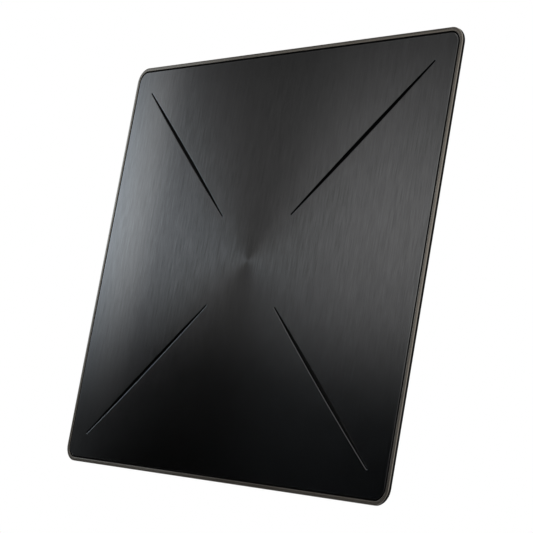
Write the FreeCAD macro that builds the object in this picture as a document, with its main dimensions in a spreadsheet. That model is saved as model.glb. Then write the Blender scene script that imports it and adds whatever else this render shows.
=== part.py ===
import FreeCAD, Part
import math
import os
import Sketcher

# Indoor television antenna: a thin brushed panel with four spindle slots, made to hang on a wall.
# The face looks along -Y, +Z is up, and the origin lies between the two keyholes on the rear face.
# Depths are measured in millimetres from the front face towards the wall.

SIZES = {
    # whole panel
    "panel_width": 330.0,
    "panel_height": 299.0,
    "panel_depth": 20.0,
    "corner_radius": 11.0,
    # trim frame round the face
    "trim_width": 2.7,
    "trim_thickness": 0.8,
    "trim_seat_width": 1.5,
    "trim_edge_round": 0.55,
    "fit_clearance": 0.15,
    # brushed face plate and its four slots
    "seam_gap": 0.7,
    "plate_thickness": 0.8,
    "plate_bevel": 0.2,
    "slot_corner_margin": 17.4,
    "slot_hub_radius": 47.2,
    "slot_mid_width": 2.7,
    "slot_end_width": 0.6,
    # bonding tape under the plate
    "tape_thickness": 0.3,
    "tape_width": 11.0,
    "tape_margin": 2.0,
    "tape_patch": 50.0,
    # front chassis
    "chassis_thickness": 1.6,
    "channel_depth": 1.0,
    "channel_margin": 0.4,
    "parting_depth": 1.75,
    "boss_diameter": 8.0,
    "boss_height": 3.2,
    "post_diameter": 6.0,
    "stake_diameter": 3.0,
    "stake_head_diameter": 5.4,
    "stake_head_height": 0.6,
    # rear cover
    "cover_land": 0.4,
    "cover_rim_width": 6.0,
    "cover_wall": 2.0,
    "cover_inner_radius": 7.0,
    "plateau_width": 190.0,
    "plateau_height": 160.0,
    "plateau_radius": 22.0,
    "plateau_edge_round": 2.5,
    "rib_thickness": 1.2,
    "rib_height": 5.0,
    "rib_offset_x": 38.0,
    "rib_offset_z": 64.0,
    # housing screws
    "screw_inset": 37.0,
    "screw_side_offset": 60.0,
    "screw_top_offset": 70.0,
    "screw_shank_diameter": 2.9,
    "screw_head_diameter": 5.8,
    "screw_head_height": 2.2,
    "screw_head_bevel": 0.9,
    "screw_length": 5.6,
    "screw_seat": 2.0,
    "screw_tip_room": 0.3,
    "screw_hole_clearance": 0.25,
    "recess_length": 3.0,
    "recess_width": 0.8,
    "recess_depth": 1.2,
    "thread_clearance": 0.05,
    "well_clearance": 0.6,
    "well_wall": 1.2,
    # keyholes for two wall screws
    "keyhole_height": 35.0,
    "keyhole_spacing": 120.0,
    "keyhole_entry_radius": 4.5,
    "keyhole_slot_width": 4.4,
    "keyhole_travel": 9.0,
    "keyhole_pocket_depth": 5.0,
    "keyhole_pocket_margin": 2.0,
    "keyhole_pocket_wall": 1.5,
    # wall pads
    "pad_diameter": 14.0,
    "pad_thickness": 1.2,
    "pad_recess": 0.4,
    "pad_inset": 13.0,
    # connector bay in the rear cover
    "bay_width": 28.0,
    "bay_drop": 32.0,
    "bay_wall": 2.0,
    "bay_floor_depth": 5.6,
    "bay_floor_wall": 1.6,
    "bay_radius": 4.0,
    # element carrier sheet and stamped elements
    "carrier_margin": 18.5,
    "carrier_thickness": 0.5,
    "carrier_radius": 8.0,
    "hole_clearance": 0.5,
    "element_thickness": 0.3,
    "element_edge": 2.0,
    "element_outer_inset": 28.0,
    "element_apex": 10.0,
    "element_apex_half": 9.0,
    "element_outer_half": 92.0,
    "element_strip": 16.0,
    "arm_width": 9.0,
    "arm_gap": 14.0,
    "tab_width": 7.0,
    "tab_foot": 5.0,
    # balun board and what it carries
    "board_width": 30.0,
    "board_top": 21.0,
    "board_bottom": 25.0,
    "board_thickness": 1.6,
    "board_radius": 1.5,
    "post_offset_x": 11.0,
    "post_inset": 4.0,
    "board_screw_diameter": 2.0,
    "board_screw_head_diameter": 3.8,
    "board_screw_head_height": 1.4,
    "board_screw_head_bevel": 0.3,
    "board_screw_length": 4.6,
    "core_width": 14.0,
    "core_length": 8.0,
    "core_height": 7.5,
    "core_hole_diameter": 3.8,
    "core_hole_pitch": 7.0,
    "core_offset": 7.0,
    "core_round": 0.8,
    "wire_diameter": 0.8,
    "wire_pitch": 1.2,
    "wire_overhang": 1.2,
    "wire_leg_offset": 2.0,
    "chip_length": 2.0,
    "chip_width": 1.25,
    "chip_height": 0.9,
    "chip_pitch_x": 4.0,
    "chip_offset": 2.5,
    "chip_pitch_z": 4.0,
    "rivet_diameter": 2.4,
    "rivet_head_diameter": 4.0,
    "rivet_head_height": 0.5,
    # screw-on coaxial jack
    "jack_axis_depth": 12.5,
    "jack_thread_diameter": 9.52,
    "jack_thread_length": 12.0,
    "jack_end_bevel": 0.5,
    "jack_neck_diameter": 9.2,
    "jack_neck_overrun": 0.4,
    "jack_bore_diameter": 6.8,
    "jack_flange_flats": 11.0,
    "jack_flange_thickness": 2.5,
    "jack_block_width": 10.0,
    "jack_block_length": 11.5,
    "jack_block_rise": 4.5,
    "jack_leg_diameter": 1.0,
    "jack_leg_pitch_x": 7.0,
    "jack_leg_pitch_z": 6.0,
    "jack_leg_length": 2.2,
    "insulator_recess": 0.6,
    "contact_diameter": 1.8,
    "contact_bore_diameter": 1.1,
    "contact_bore_depth": 7.0,
    "contact_recess": 0.8,
    "tail_diameter": 0.9,
    "nut_flats": 11.0,
    "nut_height": 2.4,
    "washer_diameter": 13.4,
    "washer_thickness": 0.7,
    "washer_tooth_width": 1.2,
    "washer_tooth_depth": 0.8,
}
WASHER_TEETH = 10
CHIP_ROWS = 2
FULL_TURN = 360
TOLERANCE = 1e-4


class Dim:
    """A length known as a number and as the spreadsheet formula that gives it."""

    def __init__(self, text, value):
        self.text = text
        self.value = value

    def __add__(self, other):
        other = as_dim(other)
        return Dim(f"({self.text} + {other.text})", self.value + other.value)

    def __sub__(self, other):
        other = as_dim(other)
        return Dim(f"({self.text} - {other.text})", self.value - other.value)

    def __mul__(self, other):
        other = as_dim(other)
        return Dim(f"({self.text} * {other.text})", self.value * other.value)

    def __truediv__(self, other):
        other = as_dim(other)
        return Dim(f"({self.text} / {other.text})", self.value / other.value)

    def __neg__(self):
        return Dim(f"(-1 * {self.text})", -self.value)


def as_dim(value):
    """Takes a plain number or a Dim and gives a Dim."""
    return value if isinstance(value, Dim) else Dim(f"({float(value)})", float(value))


def diagonal(across, up):
    """Length of the diagonal of a rectangle."""
    return Dim(f"hypot({across.text}; {up.text})", math.hypot(across.value, up.value))


def bearing(across, up):
    """Angle of a direction from the sketch's first axis, in degrees."""
    return Dim(f"atan2({up.text}; {across.text})", math.degrees(math.atan2(up.value, across.value)))


doc = FreeCAD.newDocument("indoor_tv_antenna")
sheet = doc.addObject("Spreadsheet::Sheet", "Sizes")
for row, (alias, number) in enumerate(SIZES.items(), 1):
    sheet.set(f"A{row}", alias)
    sheet.set(f"B{row}", str(number))
    sheet.setAlias(f"B{row}", alias)
doc.recompute()
size = {alias: Dim(f"Sizes.{alias}", number) for alias, number in SIZES.items()}
ZERO = as_dim(0)
SIGNS = (1, -1)
QUADRANTS = [(side, rise) for side in SIGNS for rise in SIGNS]

# Depths of the stack of layers behind the front face
seat_depth = size["plate_thickness"] + size["tape_thickness"]
chassis_back = seat_depth + size["chassis_thickness"]
carrier_back = chassis_back + size["carrier_thickness"]
element_back = carrier_back + size["element_thickness"]
boss_top = chassis_back + size["boss_height"]
board_back = boss_top + size["board_thickness"]
screw_seat_depth = boss_top + size["screw_seat"]
land_depth = size["parting_depth"] + size["cover_land"]
inner_depth = size["panel_depth"] - size["cover_wall"]

# Heights and depths along the jack's axis, from the bay's wall up to the end of its block
jack_axis = size["jack_axis_depth"] - size["panel_depth"]
jack_end = -size["bay_drop"] - size["jack_thread_length"]
jack_flange_start = size["bay_wall"] - size["bay_drop"]
jack_block_start = jack_flange_start + size["jack_flange_thickness"]
jack_block_stop = jack_block_start + size["jack_block_length"]
jack_middle = (jack_block_start + jack_block_stop) / 2
tail_height = jack_block_stop + size["tail_diameter"]
jack_board_side = board_back - size["jack_axis_depth"]

# Outlines and places that several pieces share
plate_inset = size["trim_width"] + size["seam_gap"]
plate_width = size["panel_width"] - plate_inset * 2
plate_height = size["panel_height"] - plate_inset * 2
tip_x = plate_width / 2 - size["slot_corner_margin"]
tip_z = plate_height / 2 - size["slot_corner_margin"]
mouth_width = size["panel_width"] - size["cover_rim_width"] * 2
mouth_height = size["panel_height"] - size["cover_rim_width"] * 2
carrier_width = size["panel_width"] - size["carrier_margin"] * 2
carrier_height = size["panel_height"] - size["carrier_margin"] * 2
screw_x = size["panel_width"] / 2 - size["screw_inset"]
screw_z = size["panel_height"] / 2 - size["screw_inset"]
element_outer = carrier_width / 2 - size["element_outer_inset"]
arm_top = carrier_height / 2 - size["element_edge"]
post_top = size["board_top"] - size["post_inset"]
post_bottom = size["board_bottom"] - size["post_inset"]
tab_x = size["element_apex"] - size["tab_foot"] / 2


def signed(dim, sign):
    """The dimension itself, or its mirror image."""
    return dim if sign > 0 else -dim


def housing_screw_places():
    """The eight screw axes, four at the sides and four at the top and bottom."""
    sides = [(signed(screw_x, a), signed(size["screw_side_offset"], b)) for a, b in QUADRANTS]
    ends = [(signed(size["screw_top_offset"], a), signed(screw_z, b)) for a, b in QUADRANTS]
    return sides + ends


def board_post_places():
    """The four posts under the corners of the balun board."""
    offset = size["post_offset_x"]
    return [(signed(offset, side), z) for side in SIGNS for z in (post_top, -post_bottom)]


def stake_places(side):
    """The stakes that hold one stamped element: three on its outer strip and two on its arms."""
    outer = signed(element_outer - size["element_strip"] / 2, side)
    arm = signed(element_outer / 2, side)
    arm_middle = arm_top - size["arm_width"] / 2
    outer_half = size["element_outer_half"] - size["element_strip"]
    return [(outer, ZERO), (outer, outer_half), (outer, -outer_half), (arm, arm_middle), (arm, -arm_middle)]


def rivet_places():
    """The two feed points, one on each element's tab."""
    return [(signed(tab_x, side), ZERO) for side in SIGNS]


def keyhole_places():
    """The two keyhole entries."""
    return [(signed(size["keyhole_spacing"] / 2, side), size["keyhole_height"]) for side in SIGNS]


def pad_places():
    """The four wall pads near the corners of the rear plateau."""
    across = size["plateau_width"] / 2 - size["pad_inset"]
    up = size["plateau_height"] / 2 - size["pad_inset"]
    return [(signed(across, a), signed(up, b)) for a, b in QUADRANTS]


def new_body(label):
    """Starts a sub-part about the middle of the panel."""
    body = doc.addObject("PartDesign::Body", label)
    body.Label = label
    return body


def origin_plane(body, role):
    """One of the body's own origin planes or axes."""
    return next(feature for feature in body.Origin.OriginFeatures if feature.Role == role)


def new_sketch(body, name, role, offset, turn=None):
    """A sketch on an origin plane, moved along the plane's normal and turned about it."""
    sketch = body.newObject("Sketcher::SketchObject", name + "_sketch")
    sketch.AttachmentSupport = (origin_plane(body, role), [""])
    sketch.MapMode = "FlatFace"
    if turn:
        spin = FreeCAD.Rotation(FreeCAD.Vector(0, 0, 1), turn.value)
        sketch.AttachmentOffset = FreeCAD.Placement(FreeCAD.Vector(0, 0, 0), spin)
        sketch.setExpression("AttachmentOffset.Rotation.Angle", turn.text)
    sketch.setExpression("AttachmentOffset.Base.z", offset.text)
    return sketch


def bind(sketch, kind, references, dim):
    """Adds one dimension to a sketch and ties it to its formula."""
    index = sketch.addConstraint(Sketcher.Constraint(kind, *references, dim.value))
    sketch.setExpression(f"Constraints[{index}]", dim.text)


def place_point(sketch, geometry, position, across, up):
    """Fixes a point of the sketch by its two coordinates."""
    for kind, dim, axis in (("DistanceX", across, -2), ("DistanceY", up, -1)):
        if dim is ZERO:
            sketch.addConstraint(Sketcher.Constraint("PointOnObject", geometry, position, axis))
        else:
            bind(sketch, kind, (-1, 1, geometry, position), dim)


def point(across, up):
    """A sketch point from two dimensions."""
    return FreeCAD.Vector(across.value, up.value, 0)


def polygon(points):
    """An outline of straight edges through the given corners."""
    def draw(sketch):
        first = sketch.GeometryCount
        count = len(points)
        for index, corner in enumerate(points):
            following = points[(index + 1) % count]
            sketch.addGeometry(Part.LineSegment(point(*corner), point(*following)), False)
        for index, corner in enumerate(points):
            joined = first + (index + 1) % count
            sketch.addConstraint(Sketcher.Constraint("Coincident", first + index, 2, joined, 1))
            place_point(sketch, first + index, 1, *corner)
    return draw


def rectangle(left, right, bottom, top):
    """A rectangle between four sides."""
    return polygon([(left, bottom), (right, bottom), (right, top), (left, top)])


def circles(places, diameter):
    """A circle of one diameter at each place."""
    def draw(sketch):
        for across, up in places:
            ring = Part.Circle(point(across, up), FreeCAD.Vector(0, 0, 1), diameter.value / 2)
            geometry = sketch.addGeometry(ring, False)
            place_point(sketch, geometry, 3, across, up)
            bind(sketch, "Diameter", (geometry,), diameter)
    return draw


def rounded_rectangle(width, height, radius, across=ZERO, up=ZERO):
    """A rectangle with four equal corner arcs, centred at the given place."""
    left, right = across - width / 2, across + width / 2
    bottom, top = up - height / 2, up + height / 2

    def draw(sketch):
        first = sketch.GeometryCount
        ends = [((left + radius, bottom), (right - radius, bottom)),
                ((right, bottom + radius), (right, top - radius)),
                ((right - radius, top), (left + radius, top)),
                ((left, top - radius), (left, bottom + radius))]
        centres = [(right - radius, bottom + radius), (right - radius, top - radius),
                   (left + radius, top - radius), (left + radius, bottom + radius)]
        quarter = math.pi / 2
        for side, (start, stop) in enumerate(ends):
            sketch.addGeometry(Part.LineSegment(point(*start), point(*stop)), False)
            disc = Part.Circle(point(*centres[side]), FreeCAD.Vector(0, 0, 1), radius.value)
            sketch.addGeometry(Part.ArcOfCircle(disc, quarter * (side - 1), quarter * side), False)
        for side in range(len(ends)):
            line = first + 2 * side
            following = first + 2 * ((side + 1) % len(ends))
            sketch.addConstraint(Sketcher.Constraint("Tangent", line, 2, line + 1, 1))
            sketch.addConstraint(Sketcher.Constraint("Tangent", line + 1, 2, following, 1))
            sketch.addConstraint(Sketcher.Constraint("Vertical" if side % 2 else "Horizontal", line))
            if side:
                sketch.addConstraint(Sketcher.Constraint("Equal", first + 1, line + 1))
        bind(sketch, "Radius", (first + 1,), radius)
        bind(sketch, "DistanceY", (-1, 1, first, 1), bottom)
        bind(sketch, "DistanceX", (-1, 1, first + 2, 1), right)
        bind(sketch, "DistanceY", (-1, 1, first + 4, 1), top)
        bind(sketch, "DistanceX", (-1, 1, first + 6, 1), left)
    return draw


def spindle(near, far, mid_width, end_width):
    """A slot along the first axis that swells from two round ends to its widest in the middle."""
    rounding = end_width / 2
    centres = (near + rounding, far - rounding)
    rise = (mid_width - end_width) / 2
    half_length = (centres[1] - centres[0]) / 2
    radius = (half_length * half_length + rise * rise) / (rise * 2)
    middle = (centres[0] + centres[1]) / 2

    def draw(sketch):
        first = sketch.GeometryCount
        up = FreeCAD.Vector(0, 0, 1)
        swing = math.asin(half_length.value / radius.value)
        quarter = math.pi / 2
        sag = radius - mid_width / 2
        arcs = [(point(centres[1], ZERO), rounding, -quarter, quarter),
                (point(middle, -sag), radius, quarter - swing, quarter + swing),
                (point(centres[0], ZERO), rounding, quarter, 3 * quarter),
                (point(middle, sag), radius, -quarter - swing, -quarter + swing)]
        for centre, arc_radius, start, stop in arcs:
            disc = Part.Circle(centre, up, arc_radius.value)
            sketch.addGeometry(Part.ArcOfCircle(disc, start, stop), False)
        for index, (_, arc_radius, _, _) in enumerate(arcs):
            following = first + (index + 1) % len(arcs)
            sketch.addConstraint(Sketcher.Constraint("Coincident", first + index, 2, following, 1))
            bind(sketch, "Radius", (first + index,), arc_radius)
        for end, centre in ((first, centres[1]), (first + 2, centres[0])):
            place_point(sketch, end, 3, centre, ZERO)
            sketch.addConstraint(Sketcher.Constraint("Vertical", end, 3, end, 1))
            sketch.addConstraint(Sketcher.Constraint("Vertical", end, 3, end, 2))
    return draw


def together(*outlines):
    """Several outlines drawn in one sketch."""
    def draw(sketch):
        for outline in outlines:
            outline(sketch)
    return draw


def extrude(body, name, outline, start, stop, role="XZ_Plane", cut=False, turn=None):
    """Adds or cuts a straight block between two offsets along a plane's normal."""
    before = body.Shape.Volume if cut else 0
    sketch = new_sketch(body, name, role, start, turn)
    outline(sketch)
    feature = body.newObject("PartDesign::Pocket" if cut else "PartDesign::Pad", name)
    feature.Profile = sketch
    feature.setExpression("Length", (stop - start).text)
    feature.Reversed = cut
    doc.recompute()
    if cut and body.Shape.Volume >= before:
        raise RuntimeError(f"{body.Label}: {name} cuts nothing")
    return feature


def slab(body, name, outline, near, far, cut=False, turn=None):
    """Adds or cuts a block between two depths behind the front face."""
    start = size["panel_depth"] - far
    stop = size["panel_depth"] - near
    return extrude(body, name, outline, start, stop, cut=cut, turn=turn)


def revolve(body, name, corners):
    """Turns a profile of radius and height about the body's upright axis."""
    sketch = new_sketch(body, name, "XZ_Plane", ZERO)
    polygon(corners)(sketch)
    feature = body.newObject("PartDesign::Revolution", name)
    feature.Profile = sketch
    feature.ReferenceAxis = (sketch, ["V_Axis"])
    feature.Angle = FULL_TURN
    doc.recompute()
    return feature


def edges_where(body, test):
    """Names of the body's edges whose every vertex passes the test."""
    return [f"Edge{index}" for index, edge in enumerate(body.Shape.Edges, 1)
            if all(test(vertex.Point) for vertex in edge.Vertexes)]


def dress(body, kind, name, edges, dim):
    """Rounds or bevels some edges of the body's last feature."""
    base = body.Tip
    feature = body.newObject("PartDesign::" + kind, name)
    feature.Base = (base, edges)
    feature.setExpression("Radius" if kind == "Fillet" else "Size", dim.text)
    body.Tip = feature
    doc.recompute()
    return feature


def at_depth(depth):
    """A test for points that lie at one depth behind the front face."""
    level = depth.value - size["panel_depth"].value
    return lambda spot: abs(spot.y - level) < TOLERANCE


def panel_outline(inset):
    """The panel's rounded outline, drawn in by an even inset."""
    radius = size["corner_radius"] - inset
    return rounded_rectangle(size["panel_width"] - inset * 2, size["panel_height"] - inset * 2, radius)


def cut_slots(body, name, near, far, margin):
    """Cuts the four spindle slots, which point from the corners at the middle of the face."""
    reach = diagonal(tip_x, tip_z) + margin
    outline = spindle(size["slot_hub_radius"] - margin, reach, size["slot_mid_width"] + margin * 2,
                      size["slot_end_width"] + margin * 2)
    for index, (side, rise) in enumerate(QUADRANTS):
        turn = bearing(signed(tip_x, side), signed(tip_z, rise))
        slab(body, f"{name}_{index}", outline, near, far, cut=True, turn=turn)


def make_front_plate():
    """Brushed face plate with four spindle slots and fine bevelled edges."""
    body = new_body("front_plate")
    slab(body, "sheet", panel_outline(plate_inset), ZERO, size["plate_thickness"])
    cut_slots(body, "slot", ZERO, size["plate_thickness"], ZERO)
    dress(body, "Chamfer", "front_bevel", edges_where(body, at_depth(ZERO)), size["plate_bevel"])
    return body


def make_trim_frame():
    """Ring round the face, with a rounded outer edge and a tongue that seats inside the chassis lip."""
    body = new_body("trim_frame")
    inner = panel_outline(size["trim_width"])
    slab(body, "ring", together(panel_outline(ZERO), inner), ZERO, size["trim_thickness"])
    tongue = panel_outline(size["trim_seat_width"] + size["fit_clearance"])
    slab(body, "tongue", together(tongue, inner), size["trim_thickness"], seat_depth)
    half_width = size["panel_width"].value / 2 - size["trim_seat_width"].value
    half_height = size["panel_height"].value / 2 - size["trim_seat_width"].value
    front = at_depth(ZERO)
    outer = edges_where(body, lambda spot: front(spot) and (
        abs(spot.x) > half_width or abs(spot.z) > half_height))
    dress(body, "Fillet", "edge_round", outer, size["trim_edge_round"])
    return body


def make_plate_tape():
    """Strips of bonding tape round the plate's border, and a patch at its middle."""
    body = new_body("plate_tape")
    right = plate_width / 2 - size["tape_margin"]
    top = plate_height / 2 - size["tape_margin"]
    width = size["tape_width"]
    run = tip_x - size["slot_corner_margin"]
    climb = tip_z - size["slot_corner_margin"]
    half_patch = size["tape_patch"] / 2
    strips = [rectangle(-half_patch, half_patch, -half_patch, half_patch)]
    strips += [rectangle(-run, run, top - width, top), rectangle(-run, run, -top, width - top)]
    strips += [rectangle(right - width, right, -climb, climb)]
    strips += [rectangle(-right, width - right, -climb, climb)]
    slab(body, "strips", together(*strips), size["plate_thickness"], seat_depth)
    return body


def make_front_chassis():
    """Moulded tray that carries the plate and trim in front, and bosses, posts and stakes behind."""
    body = new_body("front_chassis")
    slab(body, "flange", panel_outline(ZERO), size["trim_thickness"], size["parting_depth"])
    floor = hollow_outline(chassis_back, size["fit_clearance"])
    slab(body, "floor", floor, size["parting_depth"], chassis_back)
    recess = panel_outline(size["trim_seat_width"])
    slab(body, "plate_recess", recess, size["trim_thickness"], seat_depth, cut=True)
    cut_slots(body, "channel", seat_depth, seat_depth + size["channel_depth"], size["channel_margin"])
    slab(body, "bosses", circles(housing_screw_places(), size["boss_diameter"]), chassis_back, boss_top)
    slab(body, "posts", circles(board_post_places(), size["post_diameter"]), chassis_back, boss_top)
    stakes = stake_places(1) + stake_places(-1)
    head_back = element_back + size["stake_head_height"]
    slab(body, "stakes", circles(stakes, size["stake_diameter"]), chassis_back, element_back)
    slab(body, "stake_heads", circles(stakes, size["stake_head_diameter"]), element_back, head_back)
    pilot = size["screw_shank_diameter"] + size["thread_clearance"] * 2
    pilot_end = screw_seat_depth - size["screw_length"] - size["screw_tip_room"]
    slab(body, "pilots", circles(housing_screw_places(), pilot), pilot_end, boss_top, cut=True)
    small_pilot = size["board_screw_diameter"] + size["thread_clearance"] * 2
    small_end = board_back - size["board_screw_length"] - size["screw_tip_room"]
    slab(body, "small_pilots", circles(board_post_places(), small_pilot), small_end, boss_top, cut=True)
    return body


def hollow_outline(depth, clearance):
    """The cover's tapered hollow as it is at one depth, drawn in by a clearance."""
    share = (depth - size["parting_depth"]) / (inner_depth - size["parting_depth"])
    width = mouth_width + (size["plateau_width"] - mouth_width) * share
    height = mouth_height + (size["plateau_height"] - mouth_height) * share
    radius = size["cover_inner_radius"] + (size["plateau_radius"] - size["cover_inner_radius"]) * share
    return rounded_rectangle(width - clearance * 2, height - clearance * 2, radius)


def make_cover_core():
    """The hollow of the rear cover: a tapered core, cut away where walls, wells and ribs stand."""
    body = new_body("cover_core")
    mouth = rounded_rectangle(mouth_width, mouth_height, size["cover_inner_radius"])
    slab(body, "mouth", mouth, size["trim_thickness"], size["parting_depth"])
    plateau = rounded_rectangle(size["plateau_width"], size["plateau_height"], size["plateau_radius"])
    loft(body, "taper", mouth, size["parting_depth"], plateau, inner_depth)
    well = size["screw_head_diameter"] + (size["well_clearance"] + size["well_wall"]) * 2
    slab(body, "wells", circles(housing_screw_places(), well), boss_top, inner_depth, cut=True)
    bay_front = size["bay_floor_depth"] - size["bay_floor_wall"]
    slab(body, "bay", bay_outline(size["bay_wall"]), bay_front, inner_depth, cut=True)
    boxes = [keyhole_pocket(place, size["keyhole_pocket_wall"]) for place in keyhole_places()]
    box_front = inner_depth - size["keyhole_pocket_depth"] - size["keyhole_pocket_wall"]
    slab(body, "keyhole_boxes", together(*boxes), box_front, inner_depth, cut=True)
    half = size["rib_thickness"] / 2
    far_x, far_z = size["plateau_width"] / 2, size["plateau_height"] / 2
    uprights = [rectangle(x - half, x + half, -far_z, far_z)
                for x in (size["rib_offset_x"], -size["rib_offset_x"])]
    levels = [rectangle(-far_x, far_x, z - half, z + half)
              for z in (size["rib_offset_z"], -size["rib_offset_z"])]
    rib_front = inner_depth - size["rib_height"]
    slab(body, "upright_ribs", together(*uprights), rib_front, inner_depth, cut=True)
    slab(body, "level_ribs", together(*levels), rib_front, inner_depth, cut=True)
    return body


def loft(body, name, first, first_depth, last, last_depth):
    """Adds a straight-sided taper between two outlines at two depths."""
    front = new_sketch(body, name + "_front", "XZ_Plane", size["panel_depth"] - first_depth)
    first(front)
    rear = new_sketch(body, name + "_rear", "XZ_Plane", size["panel_depth"] - last_depth)
    last(rear)
    feature = body.newObject("PartDesign::AdditiveLoft", name)
    feature.Profile = front
    feature.Sections = [rear]
    feature.Ruled = True
    doc.recompute()
    return feature


def bay_outline(margin):
    """The connector bay seen from behind: it opens at the lower edge of the panel."""
    radius = size["bay_radius"] + margin
    top = margin - size["bay_drop"]
    bottom = -size["panel_height"] / 2 - radius * 2
    width = size["bay_width"] + margin * 2
    return rounded_rectangle(width, top - bottom, radius, ZERO, (top + bottom) / 2)


def keyhole_pocket(place, margin):
    """The room behind a keyhole for the wall screw's head."""
    width = (size["keyhole_entry_radius"] + size["keyhole_pocket_margin"] + margin) * 2
    across, entry = place
    height = width + size["keyhole_travel"]
    radius = size["keyhole_pocket_margin"] + margin
    return rounded_rectangle(width, height, radius, across, entry + size["keyhole_travel"] / 2)


def keyhole_slot(place):
    """The straight sides of a keyhole's narrow part, from its entry up to its round end."""
    across, entry = place
    half = size["keyhole_slot_width"] / 2
    return rectangle(across - half, across + half, entry, entry + size["keyhole_travel"])


def make_rear_cover():
    """Tapered moulded cover with screw wells, keyholes, pad seats and a bay for the cable's plug."""
    body = new_body("rear_cover")
    slab(body, "land", panel_outline(ZERO), size["parting_depth"], land_depth)
    plateau = rounded_rectangle(size["plateau_width"], size["plateau_height"], size["plateau_radius"])
    loft(body, "taper", panel_outline(ZERO), land_depth, plateau, size["panel_depth"])
    rear = edges_where(body, at_depth(size["panel_depth"]))
    dress(body, "Fillet", "plateau_edge", rear, size["plateau_edge_round"])
    slab(body, "bay", bay_outline(ZERO), size["bay_floor_depth"], size["panel_depth"], cut=True)
    slab(body, "pad_seats", circles(pad_places(), size["pad_diameter"] + size["fit_clearance"] * 2),
         size["panel_depth"] - size["pad_recess"], size["panel_depth"], cut=True)
    entries = circles(keyhole_places(), size["keyhole_entry_radius"] * 2)
    slab(body, "keyhole_entries", entries, inner_depth, size["panel_depth"], cut=True)
    slots = together(*[keyhole_slot(place) for place in keyhole_places()])
    slab(body, "keyhole_slots", slots, inner_depth, size["panel_depth"], cut=True)
    ends = [(across, entry + size["keyhole_travel"]) for across, entry in keyhole_places()]
    round_ends = circles(ends, size["keyhole_slot_width"])
    slab(body, "keyhole_ends", round_ends, inner_depth, size["panel_depth"], cut=True)
    pockets = together(*[keyhole_pocket(place, ZERO) for place in keyhole_places()])
    slab(body, "keyhole_pockets", pockets, inner_depth - size["keyhole_pocket_depth"], inner_depth, cut=True)
    wells = circles(housing_screw_places(), size["screw_head_diameter"] + size["well_clearance"] * 2)
    slab(body, "wells", wells, screw_seat_depth, size["panel_depth"], cut=True)
    hole = size["screw_shank_diameter"] + size["screw_hole_clearance"] * 2
    screw_holes = circles(housing_screw_places(), hole)
    slab(body, "screw_holes", screw_holes, size["parting_depth"], screw_seat_depth, cut=True)
    hollow = body.newObject("PartDesign::Boolean", "hollow")
    hollow.Type = "Cut"
    hollow.setObjects([make_cover_core()])
    body.Tip = hollow
    doc.recompute()
    jack_hole = circles([(ZERO, jack_axis)], size["jack_thread_diameter"] + size["fit_clearance"] * 2)
    extrude(body, "jack_hole", jack_hole, -size["bay_drop"] - size["bay_wall"], jack_block_start,
            role="XY_Plane", cut=True)
    return body


def make_element_carrier():
    """Thin insulating sheet behind the chassis, pierced for its bosses, posts and stakes."""
    body = new_body("element_carrier")
    sheet_outline = rounded_rectangle(carrier_width, carrier_height, size["carrier_radius"])
    slab(body, "sheet", sheet_outline, chassis_back, carrier_back)
    room = size["hole_clearance"] * 2
    boss_holes = circles(housing_screw_places(), size["boss_diameter"] + room)
    slab(body, "boss_holes", boss_holes, chassis_back, carrier_back, cut=True)
    post_holes = circles(board_post_places(), size["post_diameter"] + room)
    slab(body, "post_holes", post_holes, chassis_back, carrier_back, cut=True)
    stakes = stake_places(1) + stake_places(-1)
    stake_holes = circles(stakes, size["stake_diameter"] + size["fit_clearance"] * 2)
    slab(body, "stake_holes", stake_holes, chassis_back, carrier_back, cut=True)
    return body


def make_element(label, side):
    """One half of the bow-tie: a triangular loop with two folded arms and a raised feed tab."""
    body = new_body(label)
    strip = size["element_strip"]
    outer, apex = element_outer, size["element_apex"]
    apex_half, outer_half = size["element_apex_half"], size["element_outer_half"]
    arm, gap = size["arm_width"], size["arm_gap"]

    def half_at(across):
        """Half height of the triangle at a distance from the middle."""
        return apex_half + (outer_half - apex_half) * ((across - apex) / (outer - apex))

    def both(corners):
        """The corners above the middle line, followed by their mirror images below it."""
        upper = [(signed(x, side), z) for x, z in corners]
        lower = [(signed(x, side), -z) for x, z in reversed(corners)]
        return polygon(upper + lower)

    loop = both([(apex, apex_half), (outer, outer_half)])
    window_near, window_far = apex + strip * 2, outer - strip
    window = both([(window_near, half_at(window_near) - strip), (window_far, half_at(window_far) - strip)])
    slab(body, "loop", together(loop, window), carrier_back, element_back)
    for name, rise in (("upper", 1), ("lower", -1)):
        corners = [(outer - arm, outer_half - strip), (outer, outer_half - strip), (outer, arm_top),
                   (gap, arm_top), (gap, arm_top - arm), (outer - arm, arm_top - arm)]
        path = [(signed(x, side), signed(z, rise)) for x, z in corners]
        slab(body, name + "_arm", polygon(path), carrier_back, element_back)
    half_tab = size["tab_width"] / 2
    inner = apex - size["tab_foot"]
    thickness = size["element_thickness"]
    leg = rectangle(*sorted_sides(apex, apex + thickness, side), -half_tab, half_tab)
    slab(body, "tab_leg", leg, carrier_back, boss_top)
    foot = rectangle(*sorted_sides(inner, apex + thickness, side), -half_tab, half_tab)
    slab(body, "tab_foot", foot, boss_top - thickness, boss_top)
    holes = circles(stake_places(side), size["stake_diameter"] + size["fit_clearance"] * 2)
    slab(body, "stake_holes", holes, carrier_back, element_back, cut=True)
    rivet = circles([(signed(tab_x, side), ZERO)], size["rivet_diameter"] + size["thread_clearance"] * 2)
    slab(body, "rivet_hole", rivet, boss_top - thickness, boss_top, cut=True)
    return body


def sorted_sides(near, far, side):
    """Left and right sides of a strip that lies to one side of the middle."""
    return (near, far) if side > 0 else (-far, -near)


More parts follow.
